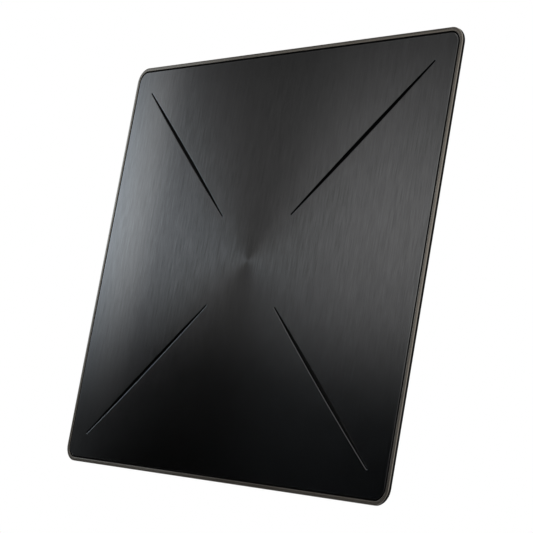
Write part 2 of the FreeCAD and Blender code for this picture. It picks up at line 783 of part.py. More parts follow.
def make_balun_board():
    """Small circuit board that joins the two elements to the jack."""
    body = new_body("balun_board")
    height = size["board_top"] + size["board_bottom"]
    middle = (size["board_top"] - size["board_bottom"]) / 2
    outline = rounded_rectangle(size["board_width"], height, size["board_radius"], ZERO, middle)
    slab(body, "sheet", outline, boss_top, board_back)
    screw_hole = size["board_screw_diameter"] + size["screw_hole_clearance"] * 2
    slab(body, "screw_holes", circles(board_post_places(), screw_hole), boss_top, board_back, cut=True)
    rivet_hole = size["rivet_diameter"] + size["thread_clearance"] * 2
    slab(body, "rivet_holes", circles(rivet_places(), rivet_hole), boss_top, board_back, cut=True)
    leg_hole = size["jack_leg_diameter"] + size["thread_clearance"] * 2
    slab(body, "leg_holes", circles(jack_leg_places(), leg_hole), boss_top, board_back, cut=True)
    tail_hole = size["tail_diameter"] + size["thread_clearance"] * 2
    slab(body, "tail_hole", circles([(ZERO, tail_height)], tail_hole), boss_top, board_back, cut=True)
    return body


def jack_leg_places():
    """The four solder legs under the jack's block."""
    across, up = size["jack_leg_pitch_x"] / 2, size["jack_leg_pitch_z"] / 2
    return [(signed(across, a), jack_middle + signed(up, b)) for a, b in QUADRANTS]


def new_jack_body(label):
    """Starts a piece that is turned about the jack's axis."""
    body = new_body(label)
    body.setExpression("Placement.Base.y", jack_axis.text)
    return body


def make_coax_jack_body():
    """Jack shell: threaded barrel with a plain neck in the wall, hexagon flange and a block on the board."""
    body = new_jack_body("coax_jack_body")
    radius, bore = size["jack_thread_diameter"] / 2, size["jack_bore_diameter"] / 2
    bevel, neck = size["jack_end_bevel"], size["jack_neck_diameter"] / 2
    nut_end = -size["bay_drop"] - size["washer_thickness"] - size["nut_height"]
    neck_end = nut_end - size["jack_neck_overrun"]
    revolve(body, "barrel", [(bore, jack_end), (radius - bevel, jack_end), (radius, jack_end + bevel),
                             (radius, neck_end), (neck, neck_end), (neck, jack_flange_start),
                             (bore, jack_flange_start)])
    axis = circles([(ZERO, ZERO)], size["jack_bore_diameter"])
    flange = together(hexagon(size["jack_flange_flats"]), axis)
    extrude(body, "flange", flange, jack_flange_start, jack_block_start, role="XY_Plane")
    half = size["jack_block_width"] / 2
    block = together(rectangle(-half, half, jack_board_side, size["jack_block_rise"]), axis)
    extrude(body, "block", block, jack_block_start, jack_block_stop, role="XY_Plane")
    legs = circles(jack_leg_places(), size["jack_leg_diameter"])
    extrude(body, "legs", legs, -jack_board_side, size["jack_leg_length"] - jack_board_side)
    return body


def hexagon(flats):
    """A regular hexagon, given across its flats."""
    corner = flats / math.sqrt(3)
    return polygon([(corner, ZERO), (corner / 2, flats / 2), (-corner / 2, flats / 2), (-corner, ZERO),
                    (-corner / 2, -flats / 2), (corner / 2, -flats / 2)])


def make_coax_jack_insulator():
    """Plastic sleeve that centres the contact in the jack."""
    body = new_jack_body("coax_jack_insulator")
    radius = size["jack_bore_diameter"] / 2 - size["thread_clearance"]
    bore = size["contact_diameter"] / 2 + size["thread_clearance"]
    start = jack_end + size["insulator_recess"]
    stop = jack_block_stop
    revolve(body, "sleeve", [(bore, start), (radius, start), (radius, stop), (bore, stop)])
    return body


def make_coax_jack_contact():
    """Split-socket contact of the jack, with a tail that drops to the board."""
    body = new_jack_body("coax_jack_contact")
    radius, bore = size["contact_diameter"] / 2, size["contact_bore_diameter"] / 2
    start = jack_end + size["contact_recess"]
    bore_end = start + size["contact_bore_depth"]
    stop = tail_height + size["tail_diameter"] / 2
    revolve(body, "pin", [(bore, start), (radius, start), (radius, stop), (ZERO, stop), (ZERO, bore_end),
                          (bore, bore_end)])
    reach = size["board_thickness"] + size["thread_clearance"] - jack_board_side
    extrude(body, "tail", circles([(ZERO, tail_height)], size["tail_diameter"]), ZERO, reach)
    return body


def make_coax_jack_washer():
    """Toothed lock washer between the bay's wall and the nut."""
    body = new_jack_body("coax_jack_washer")
    bore = size["jack_thread_diameter"] + size["fit_clearance"] * 2
    ring = circles([(ZERO, ZERO)], size["washer_diameter"])
    teeth_root = bore + size["washer_tooth_depth"] * 2
    top = -size["bay_drop"]
    bottom = top - size["washer_thickness"]
    extrude(body, "ring", together(ring, circles([(ZERO, ZERO)], bore)), bottom, top, role="XY_Plane")
    half = size["washer_tooth_width"] / 2
    notch = rectangle(bore / 2 - size["washer_tooth_depth"], teeth_root / 2, -half, half)
    first = extrude(body, "notch", notch, bottom, top, role="XY_Plane", cut=True)
    ring_of_notches = body.newObject("PartDesign::PolarPattern", "notches")
    ring_of_notches.Originals = [first]
    ring_of_notches.Axis = (origin_plane(body, "Z_Axis"), [""])
    ring_of_notches.Angle = FULL_TURN
    ring_of_notches.Occurrences = WASHER_TEETH
    body.Tip = ring_of_notches
    doc.recompute()
    return body


def make_coax_jack_nut():
    """Hexagon nut that clamps the jack to the bay's wall."""
    body = new_jack_body("coax_jack_nut")
    bore = size["jack_thread_diameter"] + size["thread_clearance"] * 2
    top = -size["bay_drop"] - size["washer_thickness"]
    outline = together(hexagon(size["nut_flats"]), circles([(ZERO, ZERO)], bore))
    extrude(body, "hexagon", outline, top - size["nut_height"], top, role="XY_Plane")
    return body


def make_balun_core():
    """Ferrite block with two bores."""
    body = new_body("balun_core")
    middle = size["core_offset"]
    half_width, half_length = size["core_width"] / 2, size["core_length"] / 2
    back = board_back + size["core_height"]
    outline = rectangle(-half_width, half_width, middle - half_length, middle + half_length)
    slab(body, "block", outline, board_back, back)
    bore_middle = (board_back + back) / 2 - size["panel_depth"]
    bores = circles([(signed(size["core_hole_pitch"] / 2, side), bore_middle) for side in SIGNS],
                    size["core_hole_diameter"])
    extrude(body, "bores", bores, middle - half_length, middle + half_length, role="XY_Plane", cut=True)
    upright = edges_where(body, lambda spot: abs(abs(spot.x) - half_width.value) < TOLERANCE)
    corners = [name for name in upright if is_along_depth(body, name)]
    dress(body, "Fillet", "corners", corners, size["core_round"])
    return body


def is_along_depth(body, name):
    """True for an edge that runs straight from front to rear."""
    box = body.Shape.getElement(name).BoundBox
    return box.XLength + box.ZLength < TOLERANCE


def make_balun_windings():
    """Two wire loops through the ferrite's bores, each with legs down to the board."""
    body = new_body("balun_windings")
    middle = size["core_offset"]
    depth = board_back + size["core_height"] / 2
    half_run = size["core_length"] / 2 + size["wire_overhang"]
    wire = size["wire_diameter"]
    for index, sign in enumerate(SIGNS):
        loop_depth = depth + signed(size["wire_pitch"] / 2, sign)
        path = new_sketch(body, f"path_{index}", "XZ_Plane", size["panel_depth"] - loop_depth)
        rounded_rectangle(size["core_hole_pitch"], half_run * 2, size["wire_overhang"], ZERO, middle)(path)
        section = new_sketch(body, f"section_{index}", "XY_Plane", middle)
        circles([(size["core_hole_pitch"] / 2, loop_depth - size["panel_depth"])], wire)(section)
        turn = body.newObject("PartDesign::AdditivePipe", f"turn_{index}")
        turn.Profile = section
        turn.Spine = (path, [f"Edge{number}" for number in range(1, path.GeometryCount + 1)])
        doc.recompute()
    legs = [(signed(size["wire_leg_offset"], a), middle + signed(half_run, b)) for a, b in QUADRANTS]
    slab(body, "legs", circles(legs, wire), board_back, depth)
    return body


def make_matching_chips():
    """Surface-mounted matching parts between the ferrite and the jack."""
    body = new_body("matching_chips")
    half_length, half_width = size["chip_length"] / 2, size["chip_width"] / 2
    chips = []
    for column in SIGNS:
        for row in range(CHIP_ROWS):
            x = signed(size["chip_pitch_x"], column)
            z = -size["chip_offset"] - size["chip_pitch_z"] * row
            chips.append(rectangle(x - half_length, x + half_length, z - half_width, z + half_width))
    slab(body, "chips", together(*chips), board_back, board_back + size["chip_height"])
    return body


def make_feed_rivets():
    """Two rivets that join the elements' feed tabs to the board."""
    body = new_body("feed_rivets")
    under = boss_top - size["element_thickness"]
    head = size["rivet_head_height"]
    heads = circles(rivet_places(), size["rivet_head_diameter"])
    slab(body, "shanks", circles(rivet_places(), size["rivet_diameter"]), under, board_back)
    slab(body, "rear_heads", heads, board_back, board_back + head)
    slab(body, "front_heads", heads, under - head, under)
    return body


def make_screws(label, places, seat, shank_diameter, length, head_diameter, head_height, head_bevel):
    """A set of round-headed screws, with crossed driver recesses, that drive in from the rear."""
    body = new_body(label)
    head_back = seat + head_height
    slab(body, "heads", circles(places, head_diameter), seat, head_back)
    dress(body, "Chamfer", "head_bevels", edges_where(body, at_depth(head_back)), head_bevel)
    slab(body, "shanks", circles(places, shank_diameter), seat - length, seat)
    reach, half = size["recess_length"] / 2, size["recess_width"] / 2
    recess_front = head_back - size["recess_depth"]
    for name, half_x, half_z in (("level_recess", reach, half), ("upright_recess", half, reach)):
        bars = [rectangle(x - half_x, x + half_x, z - half_z, z + half_z) for x, z in places]
        slab(body, name, together(*bars), recess_front, head_back, cut=True)
    return body


def make_wall_pads():
    """Four rubber pads in shallow seats on the rear plateau."""
    body = new_body("wall_pads")
    start = size["panel_depth"] - size["pad_recess"]
    slab(body, "pads", circles(pad_places(), size["pad_diameter"]), start, start + size["pad_thickness"])
    return body


parts = [
    make_front_plate(),
    make_trim_frame(),
    make_plate_tape(),
    make_front_chassis(),
    make_rear_cover(),
    make_element_carrier(),
    make_element("element_right", 1),
    make_element("element_left", -1),
    make_balun_board(),
    make_balun_core(),
    make_balun_windings(),
    make_matching_chips(),
    make_feed_rivets(),
    make_screws("board_screws", board_post_places(), board_back, size["board_screw_diameter"],
                size["board_screw_length"], size["board_screw_head_diameter"],
                size["board_screw_head_height"], size["board_screw_head_bevel"]),
    make_coax_jack_body(),
    make_coax_jack_insulator(),
    make_coax_jack_contact(),
    make_coax_jack_washer(),
    make_coax_jack_nut(),
    make_screws("housing_screws", housing_screw_places(), screw_seat_depth, size["screw_shank_diameter"],
                size["screw_length"], size["screw_head_diameter"], size["screw_head_height"],
                size["screw_head_bevel"]),
    make_wall_pads(),
]
# The origin moves from the middle of the panel to the point between the keyholes
for part in parts:
    part.setExpression("Placement.Base.z", (-size["keyhole_height"]).text)
doc.recompute()

# Nothing is written unless every object of the document is sound
for item in doc.Objects:
    if "Invalid" in item.State or "Error" in item.State:
        raise RuntimeError(f"{item.Label} failed: {item.State}")
for part in parts:
    if part.Shape.isNull() or not part.Shape.isValid():
        raise RuntimeError(f"{part.Label} has no valid shape")

os.makedirs("parts", exist_ok=True)
for part in parts:
    part.Shape.exportStep(f"parts/{part.Label}.step")
    print(part.Label, len(part.Shape.Solids), round(part.Shape.Volume, 1))
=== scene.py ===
"""Looks of a flat indoor television antenna: finishes, finer meshes, studio light and camera."""
import logging
import math
from dataclasses import dataclass, field
from enum import Enum
from typing import Callable, Sequence

import bmesh
import bpy
from mathutils import Matrix, Vector
from mathutils.geometry import tessellate_polygon


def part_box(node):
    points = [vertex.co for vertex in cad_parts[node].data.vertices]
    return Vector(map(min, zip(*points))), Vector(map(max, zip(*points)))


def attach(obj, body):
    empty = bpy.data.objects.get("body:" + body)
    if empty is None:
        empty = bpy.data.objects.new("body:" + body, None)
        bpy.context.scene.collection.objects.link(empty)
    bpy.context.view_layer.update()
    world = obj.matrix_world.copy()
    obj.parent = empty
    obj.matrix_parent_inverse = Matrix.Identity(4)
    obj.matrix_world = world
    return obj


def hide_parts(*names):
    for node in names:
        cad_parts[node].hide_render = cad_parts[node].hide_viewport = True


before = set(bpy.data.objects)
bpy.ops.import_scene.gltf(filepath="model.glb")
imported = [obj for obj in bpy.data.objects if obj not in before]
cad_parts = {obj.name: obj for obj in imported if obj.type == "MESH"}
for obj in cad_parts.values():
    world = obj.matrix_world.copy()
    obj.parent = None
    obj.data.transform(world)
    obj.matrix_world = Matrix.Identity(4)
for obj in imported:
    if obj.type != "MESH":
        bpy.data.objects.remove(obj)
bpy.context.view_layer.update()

MM = 0.001
TURN = 2.0 * math.pi
UP = Vector((0.0, 0.0, 1.0))
TO_FRONT = Vector((0.0, -1.0, 0.0))
FACES_FRONT = -0.999
SMOOTH_BELOW = math.radians(40.0)
WHITE = (1.0, 1.0, 1.0, 1.0)
BLACK = (0.0, 0.0, 0.0, 1.0)
BODY = "root"
log = logging.getLogger("antenna")

# Usual lowest and highest values of the drawn lines, the melt's flow and the mould's grain
LINE_TONES = (0.25, 0.75)
FLOW_TONES = (0.2, 0.8)
GRAIN_HEIGHTS = (0.4, 1.1)

Pair = tuple[float, float]
Triple = tuple[float, float, float]
Colour = Triple
Socket = bpy.types.NodeSocket
Feed = Socket | float | Sequence[float]
Ring = list[Vector]
Row = list[bmesh.types.BMVert]


class GrainRun(Enum):
    """The way that drawn lines run on a sheet or a turned piece."""

    UPRIGHT = "upright"
    LEVEL = "level"

    def line_size(self, pitch: float, length: float) -> Triple:
        """Gives the size of a line along X, Y and Z."""
        return (pitch, pitch, length) if self is GrainRun.UPRIGHT else (length, length, pitch)


class SocketKind(Enum):
    """Kinds of socket that a shader node group can have."""

    VALUE = "NodeSocketFloat"
    VECTOR = "NodeSocketVector"


def full(colour: Colour, factor: float = 1.0) -> tuple[float, float, float, float]:
    """Makes a colour opaque, and lighter or darker by a factor."""
    return (*(channel * factor for channel in colour), 1.0)


def rounding(radius: float, steps: int) -> list[Pair]:
    """Lists how far a rounded edge lies inside its side and behind its face.

    Args:
        radius: The rounding's radius.
        steps: Steps round it.

    Returns:
        The distances, from the side to the face.
    """
    angles = (TURN / 4 * step / steps for step in range(steps + 1))
    return [(radius * (1 - math.cos(angle)), radius * (1 - math.sin(angle))) for angle in angles]


def level_ring(x: float, z: float, radius: float, depth: float, points: int) -> Ring:
    """Places points round an axis that runs from the front to the wall."""
    angles = (TURN * index / points for index in range(points))
    return [Vector((x + radius * math.cos(angle), depth, z + radius * math.sin(angle))) for angle in angles]


def add_object(name: str, data: bpy.types.ID) -> bpy.types.Object:
    """Adds an object to the scene.

    Args:
        name: Its name.
        data: Its mesh, lamp or camera.

    Returns:
        The object.
    """
    item = bpy.data.objects.new(name, data)
    bpy.context.scene.collection.objects.link(item)
    return item


@dataclass
class NodeDesk:
    """A node tree with short ways to add nodes and to feed their sockets.

    Args:
        tree: The node tree that is worked on.
    """

    tree: bpy.types.NodeTree

    def feed(self, socket: Socket, value: Feed) -> None:
        """Links a socket to another one, or sets its plain value.

        Args:
            socket: The input that is fed.
            value: An output socket, a number or a colour.
        """
        if isinstance(value, Socket):
            self.tree.links.new(value, socket)
        else:
            socket.default_value = value

    def add(self, kind: str, feeds: dict[str | int, Feed] | None = None,
            **settings: object) -> bpy.types.Node:
        """Adds one node.

        Args:
            kind: The node's type name without its ShaderNode prefix.
            feeds: Values or sockets for the node's inputs.
            settings: Properties of the node.

        Returns:
            The new node.
        """
        node = self.tree.nodes.new("ShaderNode" + kind)
        for name, value in settings.items():
            setattr(node, name, value)
        for name, value in (feeds or {}).items():
            self.feed(node.inputs[name], value)
        return node

    def sum_up(self, operation: str, first: Feed, second: Feed = 0.0, clamp: bool = False) -> Socket:
        """Works out one step of arithmetic.

        Args:
            operation: The Math node's operation.
            first: The first operand.
            second: The second operand, where the operation has one.
            clamp: Whether the result stays between 0 and 1.

        Returns:
            The result.
        """
        return self.add("Math", {0: first, 1: second}, operation=operation, use_clamp=clamp).outputs[0]

    def vector(self, operation: str, first: Feed, second: Feed = (0.0, 0.0, 0.0)) -> bpy.types.Node:
        """Works out one step of vector arithmetic.

        Args:
            operation: The Vector Math node's operation.
            first: The first operand.
            second: The second operand, where the operation has one.

        Returns:
            The node, which has a vector and a value to take.
        """
        return self.add("VectorMath", {0: first, 1: second}, operation=operation)

    def span(self, value: Feed, low: Feed, high: Feed, out_low: float = 0.0, out_high: float = 1.0) -> Socket:
        """Maps a value smoothly from one range to another.

        Args:
            value: The value that is mapped.
            low: Start of its range.
            high: End of its range.
            out_low: Result at the start.
            out_high: Result at the end.

        Returns:
            The mapped value.
        """
        feeds = {"Value": value, "From Min": low, "From Max": high, "To Min": out_low, "To Max": out_high}
        return self.add("MapRange", feeds, interpolation_type="SMOOTHSTEP").outputs["Result"]

    def raised(self, value: Feed, mask: Feed, amount: float) -> Socket:
        """Adds an amount to a value where a mask is full."""
        return self.sum_up("ADD", value, self.sum_up("MULTIPLY", mask, amount))

    def blend(self, share: Feed, first: Feed, second: Feed, mode: str = "MIX") -> Socket:
        """Mixes two colours.

        Args:
            share: How much of the second colour there is.
            first: The first colour.
            second: The second colour.
            mode: The Mix node's blend type.

        Returns:
            The mixed colour.
        """
        node = self.add("Mix", data_type="RGBA", blend_type=mode)
        for name, value in (("Factor_Float", share), ("A_Color", first), ("B_Color", second)):
            self.feed(next(item for item in node.inputs if item.identifier == name), value)
        return next(item for item in node.outputs if item.identifier == "Result_Color")

    def shaded(self, tone: Feed, colour: Colour, darkest: float, lightest: float) -> Socket:
        """Runs a colour from dark to light with a tone."""
        return self.blend(tone, full(colour, darkest), full(colour, lightest))

    def worn(self, mask: Feed, share: float, colour: Feed, other: Feed) -> Socket:
        """Lets a share of another colour show where a mask is full."""
        return self.blend(self.sum_up("MULTIPLY", mask, share), colour, other)


@dataclass
class EffectGroup:
    """A shared shader node group while it is being built.

    Args:
        desk: The group's node tree.
        given: Its input sockets by name.
    """

    desk: NodeDesk
    given: dict[str, Socket]

    @classmethod
    def start(cls, name: str, inputs: dict[str, SocketKind], outputs: Sequence[str]) -> "EffectGroup":
        """Starts a group with named sockets.

        Args:
            name: The group's name.
            inputs: Its input names and kinds.
            outputs: The names of the values that it puts out.

        Returns:
            The group in work.
        """
        tree = bpy.data.node_groups.new(name, "ShaderNodeTree")
        for label, kind in inputs.items():
            tree.interface.new_socket(name=label, in_out="INPUT", socket_type=kind.value)
        for label in outputs:
            tree.interface.new_socket(name=label, in_out="OUTPUT", socket_type=SocketKind.VALUE.value)
        entry = tree.nodes.new("NodeGroupInput")
        return cls(NodeDesk(tree), {label: entry.outputs[label] for label in inputs})

    def finish(self, **results: Socket) -> bpy.types.NodeTree:
        """Ties the results to the group's outputs.

        Args:
            results: The outputs' sockets by name.

        Returns:
            The finished group.
        """
        leave = self.desk.tree.nodes.new("NodeGroupOutput")
        for label, socket in results.items():
            self.desk.feed(leave.inputs[label], socket)
        return self.desk.tree


@dataclass(frozen=True)
class Palette:
    """The shared effects that the finishes place in their materials.

    Args:
        brushed_grain: Drawn lines, and the wider bands between them.
        moulded_skin: Eroded grain of a mould, and the slow tone of the melt's flow.
        handling: Wiped smears and settled dust.
        edge_rub: Mask of edges that are rubbed light.
        panel_rim: Distance inside the panel's rounded outline.
        face_side: Mask of what looks to the front.
    """

    brushed_grain: bpy.types.NodeTree
    moulded_skin: bpy.types.NodeTree
    handling: bpy.types.NodeTree
    edge_rub: bpy.types.NodeTree
    panel_rim: bpy.types.NodeTree
    face_side: bpy.types.NodeTree

    @classmethod
    def mix(cls) -> "Palette":
        """Builds every group once."""
        return cls(cls.make_brushed_grain(), cls.make_moulded_skin(), cls.make_handling(),
                   cls.make_edge_rub(), cls.make_panel_rim(), cls.make_face_side())

    @staticmethod
    def make_brushed_grain() -> bpy.types.NodeTree:
        """Builds the drawn lines of a brushed sheet.

        Returns:
            The group.
        """
        kinds = {"Position": SocketKind.VECTOR, "Line Size": SocketKind.VECTOR}
        group = EffectGroup.start("brushed_grain", kinds, ("Line", "Band"))
        desk = group.desk
        band_scale = (0.17, 0.17, 0.3)
        along = desk.vector("DIVIDE", group.given["Position"], group.given["Line Size"]).outputs[0]
        line = desk.add("TexNoise", {"Vector": along, "Scale": 1.0, "Detail": 3.0, "Roughness": 0.62})
        wider = desk.vector("MULTIPLY", along, band_scale).outputs[0]
        band = desk.add("TexNoise", {"Vector": wider, "Scale": 1.0, "Detail": 2.0, "Roughness": 0.55})
        return group.finish(Line=line.outputs["Fac"], Band=band.outputs["Fac"])

    @staticmethod
    def make_moulded_skin() -> bpy.types.NodeTree:
        """Builds the skin of a moulded piece.

        Returns:
            The group.
        """
        kinds = {"Position": SocketKind.VECTOR, "Grain Size": SocketKind.VALUE}
        group = EffectGroup.start("moulded_skin", kinds, ("Height", "Tone"))
        desk, place = group.desk, group.given["Position"]
        pit_reach, pit_depth = 0.7, 0.5
        scale = desk.sum_up("DIVIDE", 1.0, group.given["Grain Size"])
        grain = desk.add("TexNoise", {"Vector": place, "Scale": scale, "Detail": 4.0, "Roughness": 0.6})
        pits = desk.add("TexVoronoi", {"Vector": place, "Scale": scale})
        depth = desk.span(pits.outputs["Distance"], 0.0, pit_reach, 0.0, pit_depth)
        flow = desk.add("TexNoise", {"Vector": place, "Scale": 21.0, "Detail": 3.0})
        return group.finish(Height=desk.sum_up("ADD", grain.outputs["Fac"], depth), Tone=flow.outputs["Fac"])

    @staticmethod
    def make_handling() -> bpy.types.NodeTree:
        """Builds the faint marks of use.

        Returns:
            The group.
        """
        group = EffectGroup.start("handling", {"Position": SocketKind.VECTOR}, ("Smear", "Dust"))
        desk, place = group.desk, group.given["Position"]
        smear_start, smear_full = 0.42, 0.74
        speck_core, speck_edge = 0.05, 0.11
        cloud = desk.add("TexNoise", {"Vector": place, "Scale": 16.0, "Detail": 5.0, "Distortion": 1.4})
        specks = desk.add("TexVoronoi", {"Vector": place, "Scale": 260.0})
        return group.finish(Smear=desk.span(cloud.outputs["Fac"], smear_start, smear_full),
                            Dust=desk.span(specks.outputs["Distance"], speck_core, speck_edge, 1.0, 0.0))

    @staticmethod
    def make_edge_rub() -> bpy.types.NodeTree:
        """Builds the mask of rubbed edges, where a rounded normal leaves the plain one.

        Returns:
            The group.
        """
        group = EffectGroup.start("edge_rub", {"Width": SocketKind.VALUE}, ("Mask",))
        desk = group.desk
        flat_match, edge_match = 0.995, 0.8
        rounded = desk.add("Bevel", {"Radius": group.given["Width"]}, samples=6)
        plain = desk.add("NewGeometry")
        match = desk.vector("DOT_PRODUCT", rounded.outputs["Normal"], plain.outputs["Normal"])
        return group.finish(Mask=desk.span(match.outputs["Value"], flat_match, edge_match))

    @staticmethod
    def make_panel_rim() -> bpy.types.NodeTree:
        """Builds the distance inside the panel's rounded outline.

        Returns:
            The group.
        """
        kinds = {"Position": SocketKind.VECTOR, "Middle": SocketKind.VECTOR,
                 "Straight Half": SocketKind.VECTOR, "Corner": SocketKind.VALUE}
        group = EffectGroup.start("panel_rim", kinds, ("Inset",))
        desk, given = group.desk, group.given
        offset = desk.vector("SUBTRACT", given["Position"], given["Middle"]).outputs[0]
        mirrored = desk.vector("ABSOLUTE", offset).outputs[0]
        past = desk.vector("SUBTRACT", mirrored, given["Straight Half"]).outputs[0]
        parts = desk.add("SeparateXYZ", {0: past}).outputs
        across, up = parts["X"], parts["Z"]
        corner = desk.add("CombineXYZ", {"X": desk.sum_up("MAXIMUM", across),
                                         "Z": desk.sum_up("MAXIMUM", up)})
        reach = desk.vector("LENGTH", corner.outputs[0]).outputs["Value"]
        inner = desk.sum_up("MINIMUM", desk.sum_up("MAXIMUM", across, up))
        return group.finish(Inset=desk.sum_up("SUBTRACT", given["Corner"], desk.sum_up("ADD", reach, inner)))

    @staticmethod
    def make_face_side() -> bpy.types.NodeTree:
        """Builds the mask of what looks to the front.

        Returns:
            The group.
        """
        kinds = {"Normal": SocketKind.VECTOR, "Start": SocketKind.VALUE, "Full": SocketKind.VALUE}
        group = EffectGroup.start("face_side", kinds, ("Mask",))
        ahead = group.desk.vector("DOT_PRODUCT", group.given["Normal"], TO_FRONT).outputs["Value"]
        return group.finish(Mask=group.desk.span(ahead, group.given["Start"], group.given["Full"]))


@dataclass(frozen=True)
class PanelOutline:
    """The rounded outline that the trim and the plate share.

    Args:
        corner: Radius of the panel's corners, in metres.
        corner_steps: Steps round one corner of a mesh.
    """

    corner: float = 11.0 * MM
    corner_steps: int = 14

    def middle(self) -> Vector:
        """The middle of the front face."""
        low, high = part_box("trim_frame")
        return Vector(((low.x + high.x) / 2, low.y, (low.z + high.z) / 2))

    def straight_half(self) -> Vector:
        """Half the outline's straight runs."""
        low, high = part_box("trim_frame")
        return Vector(((high.x - low.x) / 2 - self.corner, 0.0, (high.z - low.z) / 2 - self.corner))

    def ring(self, inset: float, depth: float) -> Ring:
        """Places points along a line inside the outline.

        Args:
            inset: Distance of the line inside the outline.
            depth: Its distance behind the front face.

        Returns:
            The points in order.
        """
        middle, half, radius = self.middle(), self.straight_half(), self.corner - inset
        ring = []
        for quarter, (across, up) in enumerate(((1, 1), (-1, 1), (-1, -1), (1, -1))):
            for step in range(self.corner_steps + 1):
                angle = TURN / 4 * (quarter + step / self.corner_steps)
                ring.append(middle + Vector((across * half.x + radius * math.cos(angle), depth,
                                             up * half.z + radius * math.sin(angle))))
        return ring


@dataclass
class Coat:
    """A material while it is being mixed.

    Args:
        material: The Blender material.
        desk: Its node tree.
        shader: Its Principled shader.
        place: The texture coordinates on the object.
    """

    material: bpy.types.Material
    desk: NodeDesk
    shader: bpy.types.Node
    place: bpy.types.Node

    @classmethod
    def start(cls, name: str, constants: dict[str, Feed]) -> "Coat":
        """Starts a material with the shader values that are the same all over it.

        Args:
            name: The material's name.
            constants: Values for the Principled shader's own sockets.

        Returns:
            The material in work.
        """
        material = bpy.data.materials.new(name)
        material.use_nodes = True
        desk = NodeDesk(material.node_tree)
        shader = material.node_tree.nodes["Principled BSDF"]
        for label, value in constants.items():
            shader.inputs[label].default_value = value
        return cls(material, desk, shader, desk.add("TexCoord"))

    def effect(self, tree: bpy.types.NodeTree, **feeds: Feed) -> bpy.types.NodeOutputs:
        """Places a shared effect in the material.

        Args:
            tree: The effect's node group.
            feeds: Values for its inputs, with underscores for spaces in their names.

        Returns:
            The effect's outputs.
        """
        node = self.desk.add("Group", node_tree=tree)
        for label, source in (("Position", "Object"), ("Normal", "Normal")):
            if label in node.inputs:
                self.desk.feed(node.inputs[label], self.place.outputs[source])
        for label, value in feeds.items():
            self.desk.feed(node.inputs[label.replace("_", " ")], value)
        return node.outputs

    def inset(self, palette: Palette, outline: PanelOutline) -> Socket:
        """Measures how far a point lies inside the panel's outline, in metres."""
        return self.effect(palette.panel_rim, Middle=outline.middle(), Straight_Half=outline.straight_half(),
                           Corner=outline.corner)["Inset"]

    def paint(self, **sockets: Feed) -> None:
        """Feeds the shader's sockets, with underscores for spaces in their names."""
        for label, value in sockets.items():
            self.desk.feed(self.shader.inputs[label.replace("_", " ")], value)

    def emboss(self, height: Feed, depth: float) -> None:
        """Raises the surface by a height map.

        Args:
            height: The height, from 0 to 1.
            depth: The full height in metres.
        """
        bump = self.desk.add("Bump", {"Height": height, "Distance": depth})
        self.paint(Normal=bump.outputs["Normal"])


